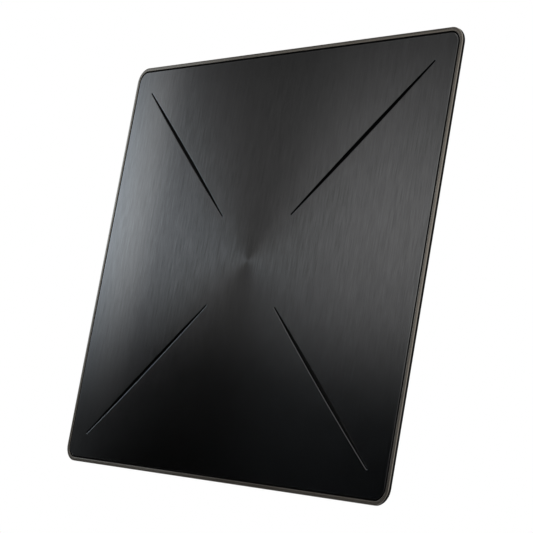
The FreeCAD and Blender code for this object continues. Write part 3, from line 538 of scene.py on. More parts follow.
@dataclass(frozen=True)
class BrushedLacquer:
    """Dark brushed film under clear lacquer on a black moulded plate, spun about the middle of the face.

    Args:
        colour: Colour of the film.
        run: Which way the drawn lines run.
        line_pitch: Distance between drawn lines, in metres.
        line_length: Length of a drawn line, in metres.
        line_share: Share of the drawn lines in the film's tone, beside the wider bands.
        tones: Where that tone is darkest and lightest.
        contrast: How far a line departs from the film's tone.
        relief: Height of the drawn lines, in metres.
        roughness: Mean roughness of the film.
        roughness_swing: How far a line's roughness departs from that.
        smear_gain: How much rougher a smear is.
        spin: How much longer a highlight is along a radius than across it, from 0 to 1.
        spin_turn: Turn of that highlight, in whole turns.
        lacquer_roughness: Roughness of the clear lacquer.
        core: Colour of the moulded core, seen in the slots and the seam; black of its own, made darker as
            painted shade there.
        core_gain: How much rougher the bare core is.
        film_depth: How deep the film reaches down the rounded edge of a slot, in metres.
        rim_depth: How deep it reaches down the plate's outer edge, in metres.
        rim_width: Where the outer edge's depth gives way to the slots', from the panel's edge in metres.
        film_fade: Where the film thins out and where it ends, as shares of its depth.
        highlight_line: Where the painted highlight line near the plate's edge starts and ends, from the
            panel's edge in metres.
        highlight_gain: How much lighter that painted highlight line is.
    """

    colour: Colour = (0.101, 0.101, 0.101)
    run: GrainRun = GrainRun.UPRIGHT
    line_pitch: float = 0.35 * MM
    line_length: float = 16.0 * MM
    line_share: float = 0.85
    tones: Pair = (0.3, 0.7)
    contrast: float = 0.38
    relief: float = 0.004 * MM
    roughness: float = 0.15
    roughness_swing: float = 0.015
    smear_gain: float = 0.006
    spin: float = 0.85
    spin_turn: float = 0.25
    lacquer_roughness: float = 0.06
    # Black of the core, darkened below the rear moulding's as painted shade in the slots and the seam.
    core: Colour = (0.003, 0.003, 0.003)
    core_gain: float = 0.35
    film_depth: float = 0.12 * MM
    rim_depth: float = 0.06 * MM
    rim_width: Pair = (4.5 * MM, 5.5 * MM)
    film_fade: Pair = (0.7, 1.3)
    highlight_line: Pair = (3.3 * MM, 4.7 * MM)
    highlight_gain: float = 0.4

    def material(self, palette: Palette, outline: PanelOutline) -> bpy.types.Material:
        """Mixes the plate's material, with film on the face and over its edges and the bare core behind.

        Args:
            palette: The shared effects.
            outline: The panel's outline.

        Returns:
            The material.
        """
        constants = {"Anisotropic": self.spin, "Anisotropic Rotation": self.spin_turn,
                     "Specular IOR Level": 0.0, "Coat Roughness": self.lacquer_roughness}
        coat = Coat.start("brushed_lacquer", constants)
        desk = coat.desk
        grain = coat.effect(palette.brushed_grain,
                            Line_Size=self.run.line_size(self.line_pitch, self.line_length))
        use = coat.effect(palette.handling)
        inset = coat.inset(palette, outline)
        filmed = self.filmed(coat, inset)
        film = self.film(desk, grain, inset)
        rough = desk.span(grain["Line"], *LINE_TONES, self.roughness - self.roughness_swing,
                          self.roughness + self.roughness_swing)
        smeared = desk.raised(rough, use["Smear"], self.smear_gain)
        bare = desk.span(filmed, 0.0, 1.0, self.core_gain, 0.0)
        coat.paint(Base_Color=desk.blend(filmed, full(self.core), film), Metallic=filmed, Coat_Weight=filmed,
                   Roughness=desk.sum_up("ADD", smeared, bare))
        coat.emboss(grain["Line"], self.relief)
        coat.paint(Tangent=desk.add("Tangent", direction_type="RADIAL", axis="Y").outputs[0])
        return coat.material

    def filmed(self, coat: Coat, inset: Socket) -> Socket:
        """Masks the film by its depth behind the face.

        Args:
            coat: The material in work.
            inset: The distance inside the panel's outline.

        Returns:
            The mask, full where there is film.
        """
        desk = coat.desk
        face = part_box("front_plate")[0].y
        place = desk.add("SeparateXYZ", {0: coat.place.outputs["Object"]}).outputs
        limit = desk.span(inset, *self.rim_width, self.rim_depth, self.film_depth)
        reach = desk.sum_up("DIVIDE", desk.sum_up("SUBTRACT", place["Y"], face), limit)
        return desk.span(reach, *self.film_fade, 1.0, 0.0)

    def film(self, desk: NodeDesk, grain: bpy.types.NodeOutputs, inset: Socket) -> Socket:
        """Colours the film with its drawn lines and the painted highlight line near its edge.

        Args:
            desk: The material's node tree.
            grain: The drawn lines.
            inset: The distance inside the panel's outline.

        Returns:
            The film's colour.
        """
        lines = desk.sum_up("MULTIPLY", grain["Line"], self.line_share)
        tone = desk.raised(lines, grain["Band"], 1.0 - self.line_share)
        film = desk.shaded(desk.span(tone, *self.tones), self.colour,
                           1.0 - self.contrast, 1.0 + self.contrast)
        # Painted highlight: a pale line all round inside the plate's edge, standing in for light caught by
        # that edge.
        start, end = self.highlight_line
        third = (end - start) / 3
        line = desk.sum_up("MULTIPLY", desk.span(inset, start, start + third),
                           desk.span(inset, end - third, end, 1.0, 0.0))
        pale = desk.blend(1.0, film, full(WHITE[:3], 1.0 + self.highlight_gain), "MULTIPLY")
        return desk.blend(line, film, pale)


@dataclass(frozen=True)
class SatinLacquer:
    """Bronze-grey lacquer on the front of the trim's black moulding, with painted shade that darkens it
    towards its inner edge.

    Args:
        colour: Colour of the lacquer.
        metal: Share of metal flake in the lacquer.
        gloss: Specular level of the surface.
        roughness: Mean roughness of the lacquer.
        roughness_swing: How far it departs from that with the melt's flow.
        smear_gain: How much rougher a smear is.
        grain: Size of the mould's grain, in metres.
        relief: Height of that grain, in metres.
        tone_swing: How far the tone departs with the melt's flow.
        core: Colour of the moulding, seen at the sides; black of its own, made darker as painted shade on the
            sides.
        core_gain: How much rougher the bare moulding is.
        front_range: How far to the front the lacquer looks where it starts and where it is full.
        width: Width of the trim, in metres.
        painted_inner_shade: How much darker the inner edge is painted, as painted shade.
    """

    colour: Colour = (0.290, 0.262, 0.225)
    metal: float = 0.9
    gloss: float = 0.05
    roughness: float = 0.2
    roughness_swing: float = 0.04
    smear_gain: float = 0.05
    grain: float = 0.35 * MM
    relief: float = 0.006 * MM
    tone_swing: float = 0.12
    # Black of the moulding, darkened below the rear moulding's as painted shade on the trim's sides.
    core: Colour = (0.004, 0.004, 0.004)
    core_gain: float = 0.35
    front_range: Pair = (0.15, 0.35)
    width: float = 2.5 * MM
    painted_inner_shade: float = 0.32

    def material(self, palette: Palette, outline: PanelOutline) -> bpy.types.Material:
        """Mixes the trim's material.

        Args:
            palette: The shared effects.
            outline: The panel's outline.

        Returns:
            The material.
        """
        coat = Coat.start("satin_lacquer", {"Specular IOR Level": self.gloss})
        desk = coat.desk
        skin = coat.effect(palette.moulded_skin, Grain_Size=self.grain)
        use = coat.effect(palette.handling)
        start, full_at = self.front_range
        front = coat.effect(palette.face_side, Start=start, Full=full_at)["Mask"]
        inset = coat.inset(palette, outline)
        flow = desk.shaded(skin["Tone"], self.colour, 1.0 - self.tone_swing, 1.0 + self.tone_swing)
        # Painted shade: the lacquer is darkened towards the trim's inner edge.
        lacquer = desk.blend(desk.span(inset, 0.0, self.width, 0.0, self.painted_inner_shade), flow, BLACK)
        rough = desk.span(skin["Tone"], *FLOW_TONES, self.roughness - self.roughness_swing,
                          self.roughness + self.roughness_swing)
        smeared = desk.raised(rough, use["Smear"], self.smear_gain)
        bare = desk.span(front, 0.0, 1.0, self.core_gain, 0.0)
        coat.paint(Base_Color=desk.blend(front, full(self.core), lacquer),
                   Metallic=desk.sum_up("MULTIPLY", front, self.metal),
                   Roughness=desk.sum_up("ADD", smeared, bare))
        coat.emboss(skin["Height"], self.relief)
        return coat.material


@dataclass(frozen=True)
class MouldedPlastic:
    """Plastic, rubber, foam or ceramic with the eroded grain of its mould.

    Args:
        name: Name of the material.
        colour: Colour of the stuff.
        roughness: Mean roughness.
        grain: Size of the mould's grain, in metres.
        relief: Height of the grain, in metres.
        gloss: Specular level of the surface.
        dust: How much dust shows.
        dust_colour: Colour of the dust.
        tone_swing: How far the tone departs with the melt's flow.
        roughness_swing: How far the roughness departs with the grain.
        wipe_polish: How much smoother a wiped smear is.
        rub_width: Width of a rubbed edge, in metres.
        rub_share: How much of the rubbed tone shows.
        rub_tone: How much lighter a rubbed edge is.
        rub_polish: How much smoother a rubbed edge is.
    """

    name: str
    colour: Colour
    roughness: float = 0.5
    grain: float = 0.45 * MM
    relief: float = 0.03 * MM
    gloss: float = 0.4
    dust: float = 0.05
    dust_colour: Colour = (0.5, 0.49, 0.46)
    tone_swing: float = 0.2
    roughness_swing: float = 0.07
    wipe_polish: float = 0.06
    rub_width: float = 0.5 * MM
    rub_share: float = 0.4
    rub_tone: float = 1.9
    rub_polish: float = 0.12

    def material(self, palette: Palette) -> bpy.types.Material:
        """Mixes the material.

        Args:
            palette: The shared effects.

        Returns:
            The material.
        """
        coat = Coat.start(self.name, {"Specular IOR Level": self.gloss})
        desk = coat.desk
        skin = coat.effect(palette.moulded_skin, Grain_Size=self.grain)
        rub = coat.effect(palette.edge_rub, Width=self.rub_width)["Mask"]
        use = coat.effect(palette.handling)
        flow = desk.shaded(skin["Tone"], self.colour, 1.0 - self.tone_swing, 1.0 + self.tone_swing)
        rubbed = desk.worn(rub, self.rub_share, flow, full(self.colour, self.rub_tone))
        dusted = desk.worn(use["Dust"], self.dust, rubbed, full(self.dust_colour))
        matt = desk.span(skin["Height"], *GRAIN_HEIGHTS, self.roughness + self.roughness_swing,
                         self.roughness - self.roughness_swing)
        wiped = desk.raised(matt, use["Smear"], -self.wipe_polish)
        coat.paint(Base_Color=dusted, Roughness=desk.raised(wiped, rub, -self.rub_polish))
        coat.emboss(skin["Height"], self.relief)
        return coat.material


@dataclass(frozen=True)
class PlatedMetal:
    """Plated, drawn or turned metal with fine tool lines.

    Args:
        name: Name of the material.
        colour: Colour of the metal.
        roughness: Mean roughness.
        run: Which way the tool lines run.
        line_pitch: Distance between tool lines, in metres.
        line_length: Length of a tool line, in metres.
        enamel: Weight of a clear enamel over the metal.
        relief: Height of the tool lines, in metres.
        line_tones: Tones of the darkest and the lightest line.
        roughness_range: Roughness of the smoothest and the roughest band, as shares of the mean.
        dull: How much of a smear shows, and its tone.
        rub: How much of a rubbed edge shows, and its tone.
        rub_width: Width of a rubbed edge, in metres.
    """

    name: str
    colour: Colour
    roughness: float = 0.25
    run: GrainRun = GrainRun.LEVEL
    line_pitch: float = 0.12 * MM
    line_length: float = 4.0 * MM
    enamel: float = 0.0
    relief: float = 0.004 * MM
    line_tones: Pair = (0.84, 1.12)
    roughness_range: Pair = (0.75, 1.3)
    dull: Pair = (0.25, 0.6)
    rub: Pair = (0.5, 1.3)
    rub_width: float = 0.15 * MM

    def material(self, palette: Palette) -> bpy.types.Material:
        """Mixes the metal's material.

        Args:
            palette: The shared effects.

        Returns:
            The material.
        """
        coat = Coat.start(self.name, {"Metallic": 1.0, "Coat Weight": self.enamel})
        desk = coat.desk
        grain = coat.effect(palette.brushed_grain,
                            Line_Size=self.run.line_size(self.line_pitch, self.line_length))
        edges = coat.effect(palette.edge_rub, Width=self.rub_width)["Mask"]
        use = coat.effect(palette.handling)
        metal = desk.shaded(grain["Line"], self.colour, *self.line_tones)
        for mask, (share, tone) in ((use["Smear"], self.dull), (edges, self.rub)):
            metal = desk.worn(mask, share, metal, full(self.colour, tone))
        smooth, rough = (self.roughness * share for share in self.roughness_range)
        coat.paint(Base_Color=metal, Roughness=desk.span(grain["Band"], *LINE_TONES, smooth, rough))
        coat.emboss(grain["Line"], self.relief)
        return coat.material


@dataclass(frozen=True)
class SolderResist:
    """Green resist over a laminate with copper runs.

    Args:
        bare: Colour of the resist over bare laminate.
        copper: Colour of the resist over copper.
        run_width: Spacing of the copper runs, in metres.
        run_edge: Where a run starts and where it is full, as shares of that spacing.
        run_height: Height of the runs, in metres.
        grain: Size of the resist's grain, in metres.
        tone_swing: How far the tone of the bare laminate departs.
        roughness_range: Roughness in the grain's pits and on its tops.
    """

    bare: Colour = (0.014, 0.105, 0.045)
    copper: Colour = (0.03, 0.19, 0.075)
    run_width: float = 3.2 * MM
    run_edge: Pair = (0.36, 0.40)
    run_height: float = 0.03 * MM
    grain: float = 0.7 * MM
    tone_swing: float = 0.15
    roughness_range: Pair = (0.36, 0.24)

    def material(self, palette: Palette) -> bpy.types.Material:
        """Mixes the board's material.

        Args:
            palette: The shared effects.

        Returns:
            The material.
        """
        coat = Coat.start("solder_resist", {})
        desk = coat.desk
        skin = coat.effect(palette.moulded_skin, Grain_Size=self.grain)
        place = coat.place.outputs["Object"]
        cells = desk.add("TexVoronoi", {"Vector": place, "Scale": 1.0 / self.run_width},
                         distance="CHEBYCHEV", feature="F1")
        runs = desk.span(cells.outputs["Distance"], *self.run_edge)
        toned = desk.shaded(skin["Tone"], self.bare, 1.0 - self.tone_swing, 1.0 + self.tone_swing)
        coat.paint(Base_Color=desk.blend(runs, toned, full(self.copper)),
                   Roughness=desk.span(skin["Height"], *GRAIN_HEIGHTS, *self.roughness_range))
        coat.emboss(runs, self.run_height)
        return coat.material


def dress_node(node: str, material: bpy.types.Material) -> None:
    """Gives a piece of the frame its finish.

    Args:
        node: Name of the piece.
        material: Its finish.
    """
    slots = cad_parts[node].data.materials
    slots.clear()
    slots.append(material)
    log.info("%s wears %s", node, material.name)


@dataclass
class Skin:
    """A mesh that is built from rings of points.

    Args:
        mesh: The mesh in work.
        flats: Its faces that stay flat.
    """

    mesh: bmesh.types.BMesh = field(default_factory=bmesh.new)
    flats: list[bmesh.types.BMFace] = field(default_factory=list)

    def wrap(self, rings: Sequence[Ring], capped: bool = False) -> None:
        """Lays a skin over rings that have the same number of points.

        Args:
            rings: The rings in order.
            capped: Whether the first and last rings are closed by a face, or else joined to each other.
        """
        rows = self.band(rings)
        if capped:
            self.mesh.faces.new(rows[0][::-1])
            self.mesh.faces.new(rows[-1])
        else:
            self.join(rows[-1], rows[0])

    def band(self, rings: Sequence[Ring]) -> list[Row]:
        """Lays an open band over rings that have the same number of points.

        Args:
            rings: The rings in order.

        Returns:
            The band's points, ring by ring.
        """
        rows = [[self.mesh.verts.new(point) for point in ring] for ring in rings]
        for lower, upper in zip(rows, rows[1:]):
            self.join(lower, upper)
        return rows

    def join(self, lower: Row, upper: Row) -> None:
        """Joins two rings by a strip of faces.

        Args:
            lower: The first ring's points.
            upper: The second ring's points.
        """
        for index, point in enumerate(lower):
            before = index - 1
            self.mesh.faces.new((lower[before], point, upper[index], upper[before]))

    def fill(self, rows: Sequence[Row]) -> None:
        """Closes an upright flat face that has holes.

        Args:
            rows: Its outlines.
        """
        points = [point for row in rows for point in row]
        outlines = [[Vector((point.co.x, point.co.z, 0.0)) for point in row] for row in rows]
        for corners in tessellate_polygon(outlines):
            self.flats.append(self.mesh.faces.new([points[corner] for corner in corners]))

    def finish(self, name: str, material: bpy.types.Material, slot: str, node: str) -> None:
        """Makes the mesh a piece that stands for one of the frame's.

        Args:
            name: Name of the new piece.
            material: Its finish.
            slot: The record's material slot; not used.
            node: The frame's piece that it stands for.
        """
        bmesh.ops.recalc_face_normals(self.mesh, faces=self.mesh.faces)
        for edge in self.mesh.edges:
            edge.smooth = edge.calc_face_angle(0.0) < SMOOTH_BELOW
        for face in self.mesh.faces:
            face.smooth = True
        for face in self.flats:
            face.smooth = False
        data = bpy.data.meshes.new(name)
        self.mesh.to_mesh(data)
        self.mesh.free()
        data.materials.append(material)
        piece = add_object(name, data)
        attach(piece, BODY)
        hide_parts(node)
        log.info("%s stands for %s with %d faces", name, node, len(data.polygons))


@dataclass
class FacePanel:
    """What is seen from the front: the brushed plate, its crowned trim and the tape behind.

    Args:
        outline: The panel's outline.
        plate: Finish of the plate.
        trim: Finish of the trim.
        tape: Finish of the tape.
        crown: How much higher the trim's middle is than its edges, in metres.
        outer_round: Rounding of the trim's outer edge, in metres.
        inner_round: Rounding of its inner edge, in metres.
        cap_depth: Depth of the trim where it lies on the chassis lip, in metres.
        tongue_inset: How far inside the outline its tongue starts, in metres.
        crown_steps: Steps across the crown.
        round_steps: Steps round an edge of the trim.
        plate_bevel: How far the plate's flat face lies from its cut sides in the frame, in metres.
        plate_round: Rounding of the plate's edges, in metres.
        plate_steps: Steps round an edge of the plate.
    """

    outline: PanelOutline = PanelOutline()
    plate: BrushedLacquer = BrushedLacquer()
    trim: SatinLacquer = SatinLacquer()
    tape: MouldedPlastic = MouldedPlastic("foam_tape", (0.55, 0.53, 0.47), 0.8, 0.3 * MM, 0.05 * MM, 0.2, 0.0)
    crown: float = 0.07 * MM
    outer_round: float = 0.3 * MM
    inner_round: float = 0.15 * MM
    cap_depth: float = 0.8 * MM
    tongue_inset: float = 1.65 * MM
    crown_steps: int = 8
    round_steps: int = 5
    plate_bevel: float = 0.2 * MM
    plate_round: float = 0.5 * MM
    plate_steps: int = 8

    def build(self, palette: Palette) -> None:
        """Dresses the tape, and models the plate and the trim.

        Args:
            palette: The shared effects.
        """
        dress_node("plate_tape", self.tape.material(palette))
        self.build_plate(palette)
        skin = Skin()
        skin.wrap([self.outline.ring(inset, depth) for inset, depth in self.trim_section()])
        skin.finish("trim_crowned", self.trim.material(palette, self.outline), "trim_frame", "trim_frame")

    def build_plate(self, palette: Palette) -> None:
        """Models the plate with its edges rounded over.

        Args:
            palette: The shared effects.
        """
        low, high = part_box("front_plate")
        edge = rounding(self.plate_round, self.plate_steps)
        section = [(-self.plate_bevel, high.y - low.y),
                   *((inset - self.plate_bevel, depth) for inset, depth in edge)]
        skin = Skin()
        bands = [skin.band([[point + way * inset + Vector((0.0, depth, 0.0)) for point, way in loop]
                            for inset, depth in section]) for loop in self.plate_loops()]
        skin.fill([band[0] for band in bands])
        skin.fill([band[-1] for band in bands])
        skin.finish("plate_rounded", self.plate.material(palette, self.outline), "front_plate", "front_plate")

    @staticmethod
    def plate_loops() -> list[list[tuple[Vector, Vector]]]:
        """Reads the outlines of the plate's flat face.

        Returns:
            The points of each outline, with the way that leads from each onto the face.
        """
        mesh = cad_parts["front_plate"].data
        runs = {run for face in mesh.polygons if face.normal.y < FACES_FRONT
                for run in zip(face.vertices, [*face.vertices[1:], face.vertices[0]])}
        ahead = {start: end for start, end in runs if (end, start) not in runs}
        loops = []
        while ahead:
            marks = [next(iter(ahead))]
            while (mark := ahead.pop(marks[-1])) != marks[0]:
                marks.append(mark)
            points = [mesh.vertices[mark].co.copy() for mark in marks]
            sides = [Vector((before.z - after.z, 0.0, after.x - before.x)).normalized()
                     for before, after in zip(points, [*points[1:], points[0]])]
            corners = zip(points, [sides[-1], *sides[:-1]], sides)
            loops.append([(point, (side + following) / (1.0 + side.dot(following)))
                          for point, side, following in corners])
        return loops

    def trim_section(self) -> list[Pair]:
        """Lists the trim's section from the foot of its outer side round to its tongue.

        Returns:
            Distances inside the outline and behind the front face.
        """
        low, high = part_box("trim_frame")
        width, foot = self.trim.width, high.y - low.y

        def fall(inset: float) -> float:
            """Gives how far the crown lies behind the front face."""
            return self.crown * (2.0 * inset / width - 1.0) ** 2

        def rounded(radius: float) -> list[Pair]:
            """Lists a rounded edge from the side to the crown."""
            return [(inset, fall(radius) + depth) for inset, depth in rounding(radius, self.round_steps)]

        start, stop = self.outer_round, width - self.inner_round
        middle = [start + (stop - start) * step / self.crown_steps for step in range(1, self.crown_steps)]
        inner = [(width - inset, depth) for inset, depth in reversed(rounded(self.inner_round))]
        return [(0.0, self.cap_depth), *rounded(self.outer_round),
                *((inset, fall(inset)) for inset in middle), *inner,
                (width, foot), (self.tongue_inset, foot), (self.tongue_inset, self.cap_depth)]


@dataclass
class Housing:
    """The black mouldings, the screws that join them and the pads that rest on the wall.

    Args:
        tray: Finish of the front moulding, black of its own but darker and duller than the rear one as
            painted shade, so that the slots and the seam are black.
        shell: Finish of the rear moulding.
        screws: Finish of the screws.
        rubber: Finish of the pads.
        pad_round: Rounding of a pad's rim, in metres.
        pad_steps: Steps round that rim.
        pad_middle: Radius of the small face that closes a pad's middle, in metres.
        groove_radii: Radii of the grooves in a pad's face, in metres.
        groove_depth: Depth of those grooves, in metres.
        groove_section: A groove's section, as offsets in metres and shares of its depth.
        points: Points round a pad.
    """

    # A darker copy of the black moulding: its own black plus painted shade for the slots and the seam.
    tray: MouldedPlastic = MouldedPlastic("shaded_black_tray", (0.005, 0.005, 0.005), 0.7, gloss=0.05, dust=0.0)
    shell: MouldedPlastic = MouldedPlastic("black_moulding", (0.019, 0.019, 0.02), 0.55, gloss=0.4)
    screws: PlatedMetal = PlatedMetal("black_zinc", (0.13, 0.13, 0.135), 0.32)
    rubber: MouldedPlastic = MouldedPlastic("soft_rubber", (0.03, 0.03, 0.032), 0.8, 0.25 * MM, gloss=0.3,
                                            dust=0.3)
    pad_round: float = 0.35 * MM
    pad_steps: int = 4
    pad_middle: float = 0.02 * MM
    groove_radii: tuple[float, ...] = (2.2 * MM, 3.9 * MM, 5.5 * MM)
    groove_depth: float = 0.22 * MM
    groove_section: tuple[Pair, ...] = ((0.45 * MM, 0.0), (0.2 * MM, 0.8), (0.0, 1.0), (-0.2 * MM, 0.8),
                                        (-0.45 * MM, 0.0))
    points: int = 72

    def build(self, palette: Palette) -> None:
        """Dresses the mouldings and screws, and models the pads.

        Args:
            palette: The shared effects.
        """
        finishes = {"front_chassis": self.tray, "rear_cover": self.shell, "housing_screws": self.screws}
        for node, finish in finishes.items():
            dress_node(node, finish.material(palette))
        self.make_pads(self.rubber.material(palette))

    def make_pads(self, material: bpy.types.Material) -> None:
        """Models the four pads with rounded rims and ringed faces.

        Args:
            material: Their finish.
        """
        low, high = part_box("wall_pads")
        radius = self.pad_radius()
        profile = self.pad_profile(radius, low.y, high.y)
        skin = Skin()
        for x in (low.x + radius, high.x - radius):
            for z in (low.z + radius, high.z - radius):
                rings = [level_ring(x, z, reach, depth, self.points) for reach, depth in profile]
                skin.wrap(rings, capped=True)
        skin.finish("wall_pads_ringed", material, "wall_pads", "wall_pads")

    @staticmethod
    def pad_radius() -> float:
        """Reads a pad's radius from its solid.

        Returns:
            The radius in metres.
        """
        low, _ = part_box("wall_pads")
        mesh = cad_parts["wall_pads"].data
        return max(point.co.x for point in mesh.vertices if point.co.x < 0.0) / 2 - low.x / 2

    def pad_profile(self, radius: float, front: float, rear: float) -> list[Pair]:
        """Lists a pad's section from the middle of its hidden face to the middle of its ringed face.

        Args:
            radius: The pad's radius.
            front: Place of the hidden face.
            rear: Place of the ringed face.

        Returns:
            Radii and places along Y.
        """
        rim = [(radius - inset, rear - depth) for inset, depth in rounding(self.pad_round, self.pad_steps)]
        grooves = [(reach + offset, rear - self.groove_depth * share)
                   for reach in sorted(self.groove_radii, reverse=True)
                   for offset, share in self.groove_section]
        return [(self.pad_middle, front), (radius, front), *rim, *grooves, (self.pad_middle, rear)]


@dataclass
class Receiver:
    """The stamped elements, their sheet and the balun board with what it carries.

    Args:
        sheet: Finish of the sheet that carries the elements.
        element: Finish of the two elements.
        board: Finish of the balun board.
        ferrite: Finish of the balun's core.
        wire: Finish of its windings.
        chips: Finish of the matching chips.
        rivets: Finish of the feed rivets.
        screws: Finish of the board's screws.
    """

    sheet: MouldedPlastic = MouldedPlastic("milky_sheet", (0.55, 0.56, 0.55), 0.35, 0.8 * MM, 0.01 * MM)
    element: PlatedMetal = PlatedMetal("drawn_aluminium", (0.70, 0.71, 0.72), 0.3, GrainRun.UPRIGHT)
    board: SolderResist = SolderResist()
    ferrite: MouldedPlastic = MouldedPlastic("sintered_ferrite", (0.05, 0.05, 0.052), 0.6, 0.2 * MM)
    wire: PlatedMetal = PlatedMetal("enamelled_copper", (0.55, 0.21, 0.08), 0.2, enamel=0.7)
    chips: MouldedPlastic = MouldedPlastic("chip_ceramic", (0.30, 0.22, 0.14), 0.45, 0.15 * MM, 0.01 * MM)
    rivets: PlatedMetal = PlatedMetal("tinned_brass", (0.62, 0.57, 0.47), 0.3)
    screws: PlatedMetal = PlatedMetal("bright_zinc", (0.55, 0.55, 0.54), 0.3)

    def build(self, palette: Palette) -> None:
        """Gives the pieces inside the housing their finishes.

        Args:
            palette: The shared effects.
        """
        element = self.element.material(palette)
        for node in ("element_right", "element_left"):
            dress_node(node, element)
        finishes = {"element_carrier": self.sheet, "balun_board": self.board, "balun_core": self.ferrite,
                    "balun_windings": self.wire, "matching_chips": self.chips, "feed_rivets": self.rivets,
                    "board_screws": self.screws}
        for node, finish in finishes.items():
            dress_node(node, finish.material(palette))


@dataclass
class CoaxJack:
    """The screw-on jack: threaded shell, insulator, contact, lock washer and nut.

    Args:
        shell: Finish of the shell, washer and nut.
        insulator: Finish of the insulator.
        contact: Finish of the contact.
        axis: Place of the jack's axis along Y, in metres.
        crest: Outer radius of the thread, in metres.
        groove: Radius at the bottom of the thread, in metres.
        pitch: Distance from one turn of the thread to the next, in metres.
        ridge: Height of the thread's untrimmed ridge and how steep its flanks are, in thread depths.
        neck: Radius of the plain neck, in metres.
        bore: Radius of the bore, in metres.
        lead_in: Height of the bevel at the open end, in metres.
        flats: Width of the nut and the flange across their flats, in metres.
        flange_turning: Radius that the flange's corners are turned to, as a share of half the flats.
        nut_turning: Radius that the nut's corners are turned to, as a share of half the flats.
        turning_angle: Slope of what is turned off, in degrees.
        nut_room: Room between the thread and the nut, in metres.
        block: Half width of the block, and how far it reaches to the front and the rear, in metres.
        leg_radius: Radius of a solder leg, in metres.
        leg_spots: Places of the legs across X and up Z, in metres.
        leg_reach: How far the legs stand out of the block, in metres.
        leg_section: A leg's section, as shares of its radius and its reach.
        leg_points: Points round a leg.
        neck_span: Lower and upper end of the plain neck along Z, in metres.
        flange_top: Upper end of the flange along Z, in metres.
        points: Points round the barrel.
        side_points: Points along one side of the nut, the flange or the block.
        rows_per_turn: Rows of points for one turn of the thread.
    """

    shell: PlatedMetal = PlatedMetal("bright_nickel", (0.72, 0.71, 0.68), 0.2)
    insulator: MouldedPlastic = MouldedPlastic("white_insulator", (0.80, 0.79, 0.74), 0.4, 0.3 * MM,
                                               0.01 * MM)
    contact: PlatedMetal = PlatedMetal("gilt_contact", (0.78, 0.57, 0.24), 0.22)
    axis: float = -7.5 * MM
    crest: float = 4.76 * MM
    groove: float = 4.32 * MM
    pitch: float = 0.794 * MM
    ridge: Pair = (1.3, 3.0)
    neck: float = 4.6 * MM
    bore: float = 3.4 * MM
    lead_in: float = 0.5 * MM
    flats: float = 11.0 * MM
    flange_turning: float = 1.03
    nut_turning: float = 1.02
    turning_angle: float = 30.0
    nut_room: float = 0.05 * MM
    block: Triple = (5.0 * MM, 5.0 * MM, 4.5 * MM)
    leg_radius: float = 0.5 * MM
    leg_spots: Pair = (3.5 * MM, 3.0 * MM)
    leg_reach: float = 2.2 * MM
    leg_section: tuple[Pair, ...] = ((1.0, 0.0), (1.0, 0.85), (0.75, 0.97), (0.3, 1.0))
    leg_points: int = 16
    neck_span: Pair = (-70.5 * MM, -65.0 * MM)
    flange_top: float = -62.5 * MM
    points: int = 72
    side_points: int = 12
    rows_per_turn: int = 10

    def build(self, palette: Palette) -> None:
        """Models the shell and nut, and dresses the rest.

        Args:
            palette: The shared effects.
        """
        metal = self.shell.material(palette)
        self.make_shell(metal)
        self.make_nut(metal)
        dress_node("coax_jack_washer", metal)
        dress_node("coax_jack_insulator", self.insulator.material(palette))
        dress_node("coax_jack_contact", self.contact.material(palette))

    def make_shell(self, metal: bpy.types.Material) -> None:
        """Models the barrel with its thread, the flange, the block and the solder legs.

        Args:
            metal: Their finish.
        """
        low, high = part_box("coax_jack_body")
        skin = Skin()
        self.add_barrel(skin, low.z)
        self.add_prism(skin, self.hexagon(), self.bore, self.neck_span[1], self.flange_top,
                       self.flats / 2 * self.flange_turning)
        self.add_prism(skin, self.block_outline(), self.bore, self.flange_top, high.z, math.inf)
        middle = (self.flange_top + high.z) / 2
        front = self.axis - self.block[1]
        for x in (-self.leg_spots[0], self.leg_spots[0]):
            for z in (middle - self.leg_spots[1], middle + self.leg_spots[1]):
                leg = [level_ring(x, z, self.leg_radius * share, front - self.leg_reach * reach,
                                  self.leg_points) for share, reach in self.leg_section]
                skin.wrap(leg, capped=True)
        skin.finish("jack_shell_threaded", metal, "jack_metal", "coax_jack_body")

    def make_nut(self, metal: bpy.types.Material) -> None:
        """Models the nut with bevelled corners.

        Args:
            metal: Its finish.
        """
        low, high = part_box("coax_jack_nut")
        skin = Skin()
        self.add_prism(skin, self.hexagon(), self.crest + self.nut_room, low.z, high.z,
                       self.flats / 2 * self.nut_turning)
        skin.finish("jack_nut_bevelled", metal, "jack_metal", "coax_jack_nut")

    def ring(self, height: float, radius: Callable[[float], float]) -> Ring:
        """Places points round the jack's axis.

        Args:
            height: Place of the ring along Z.
            radius: The radius at an angle.

        Returns:
            The ring.
        """
        angles = [TURN * index / self.points for index in range(self.points)]
        return [Vector((radius(angle) * math.cos(angle), self.axis + radius(angle) * math.sin(angle), height))
                for angle in angles]

    def add_barrel(self, skin: Skin, end: float) -> None:
        """Adds the bored barrel with its thread.

        Args:
            skin: The mesh in work.
            end: Place of the open end along Z.
        """
        neck_low, neck_high = self.neck_span
        rows = round((neck_low - end) / self.pitch * self.rows_per_turn)
        rings = [self.ring(neck_high, lambda angle: self.bore), self.ring(end, lambda angle: self.bore)]
        for row in range(rows + 1):
            height = end + (neck_low - end) * row / rows
            rings.append(self.ring(height, self.thread_radius(height, end, neck_low)))
        rings += [self.ring(height, lambda angle: self.neck) for height in self.neck_span]
        skin.wrap(rings)

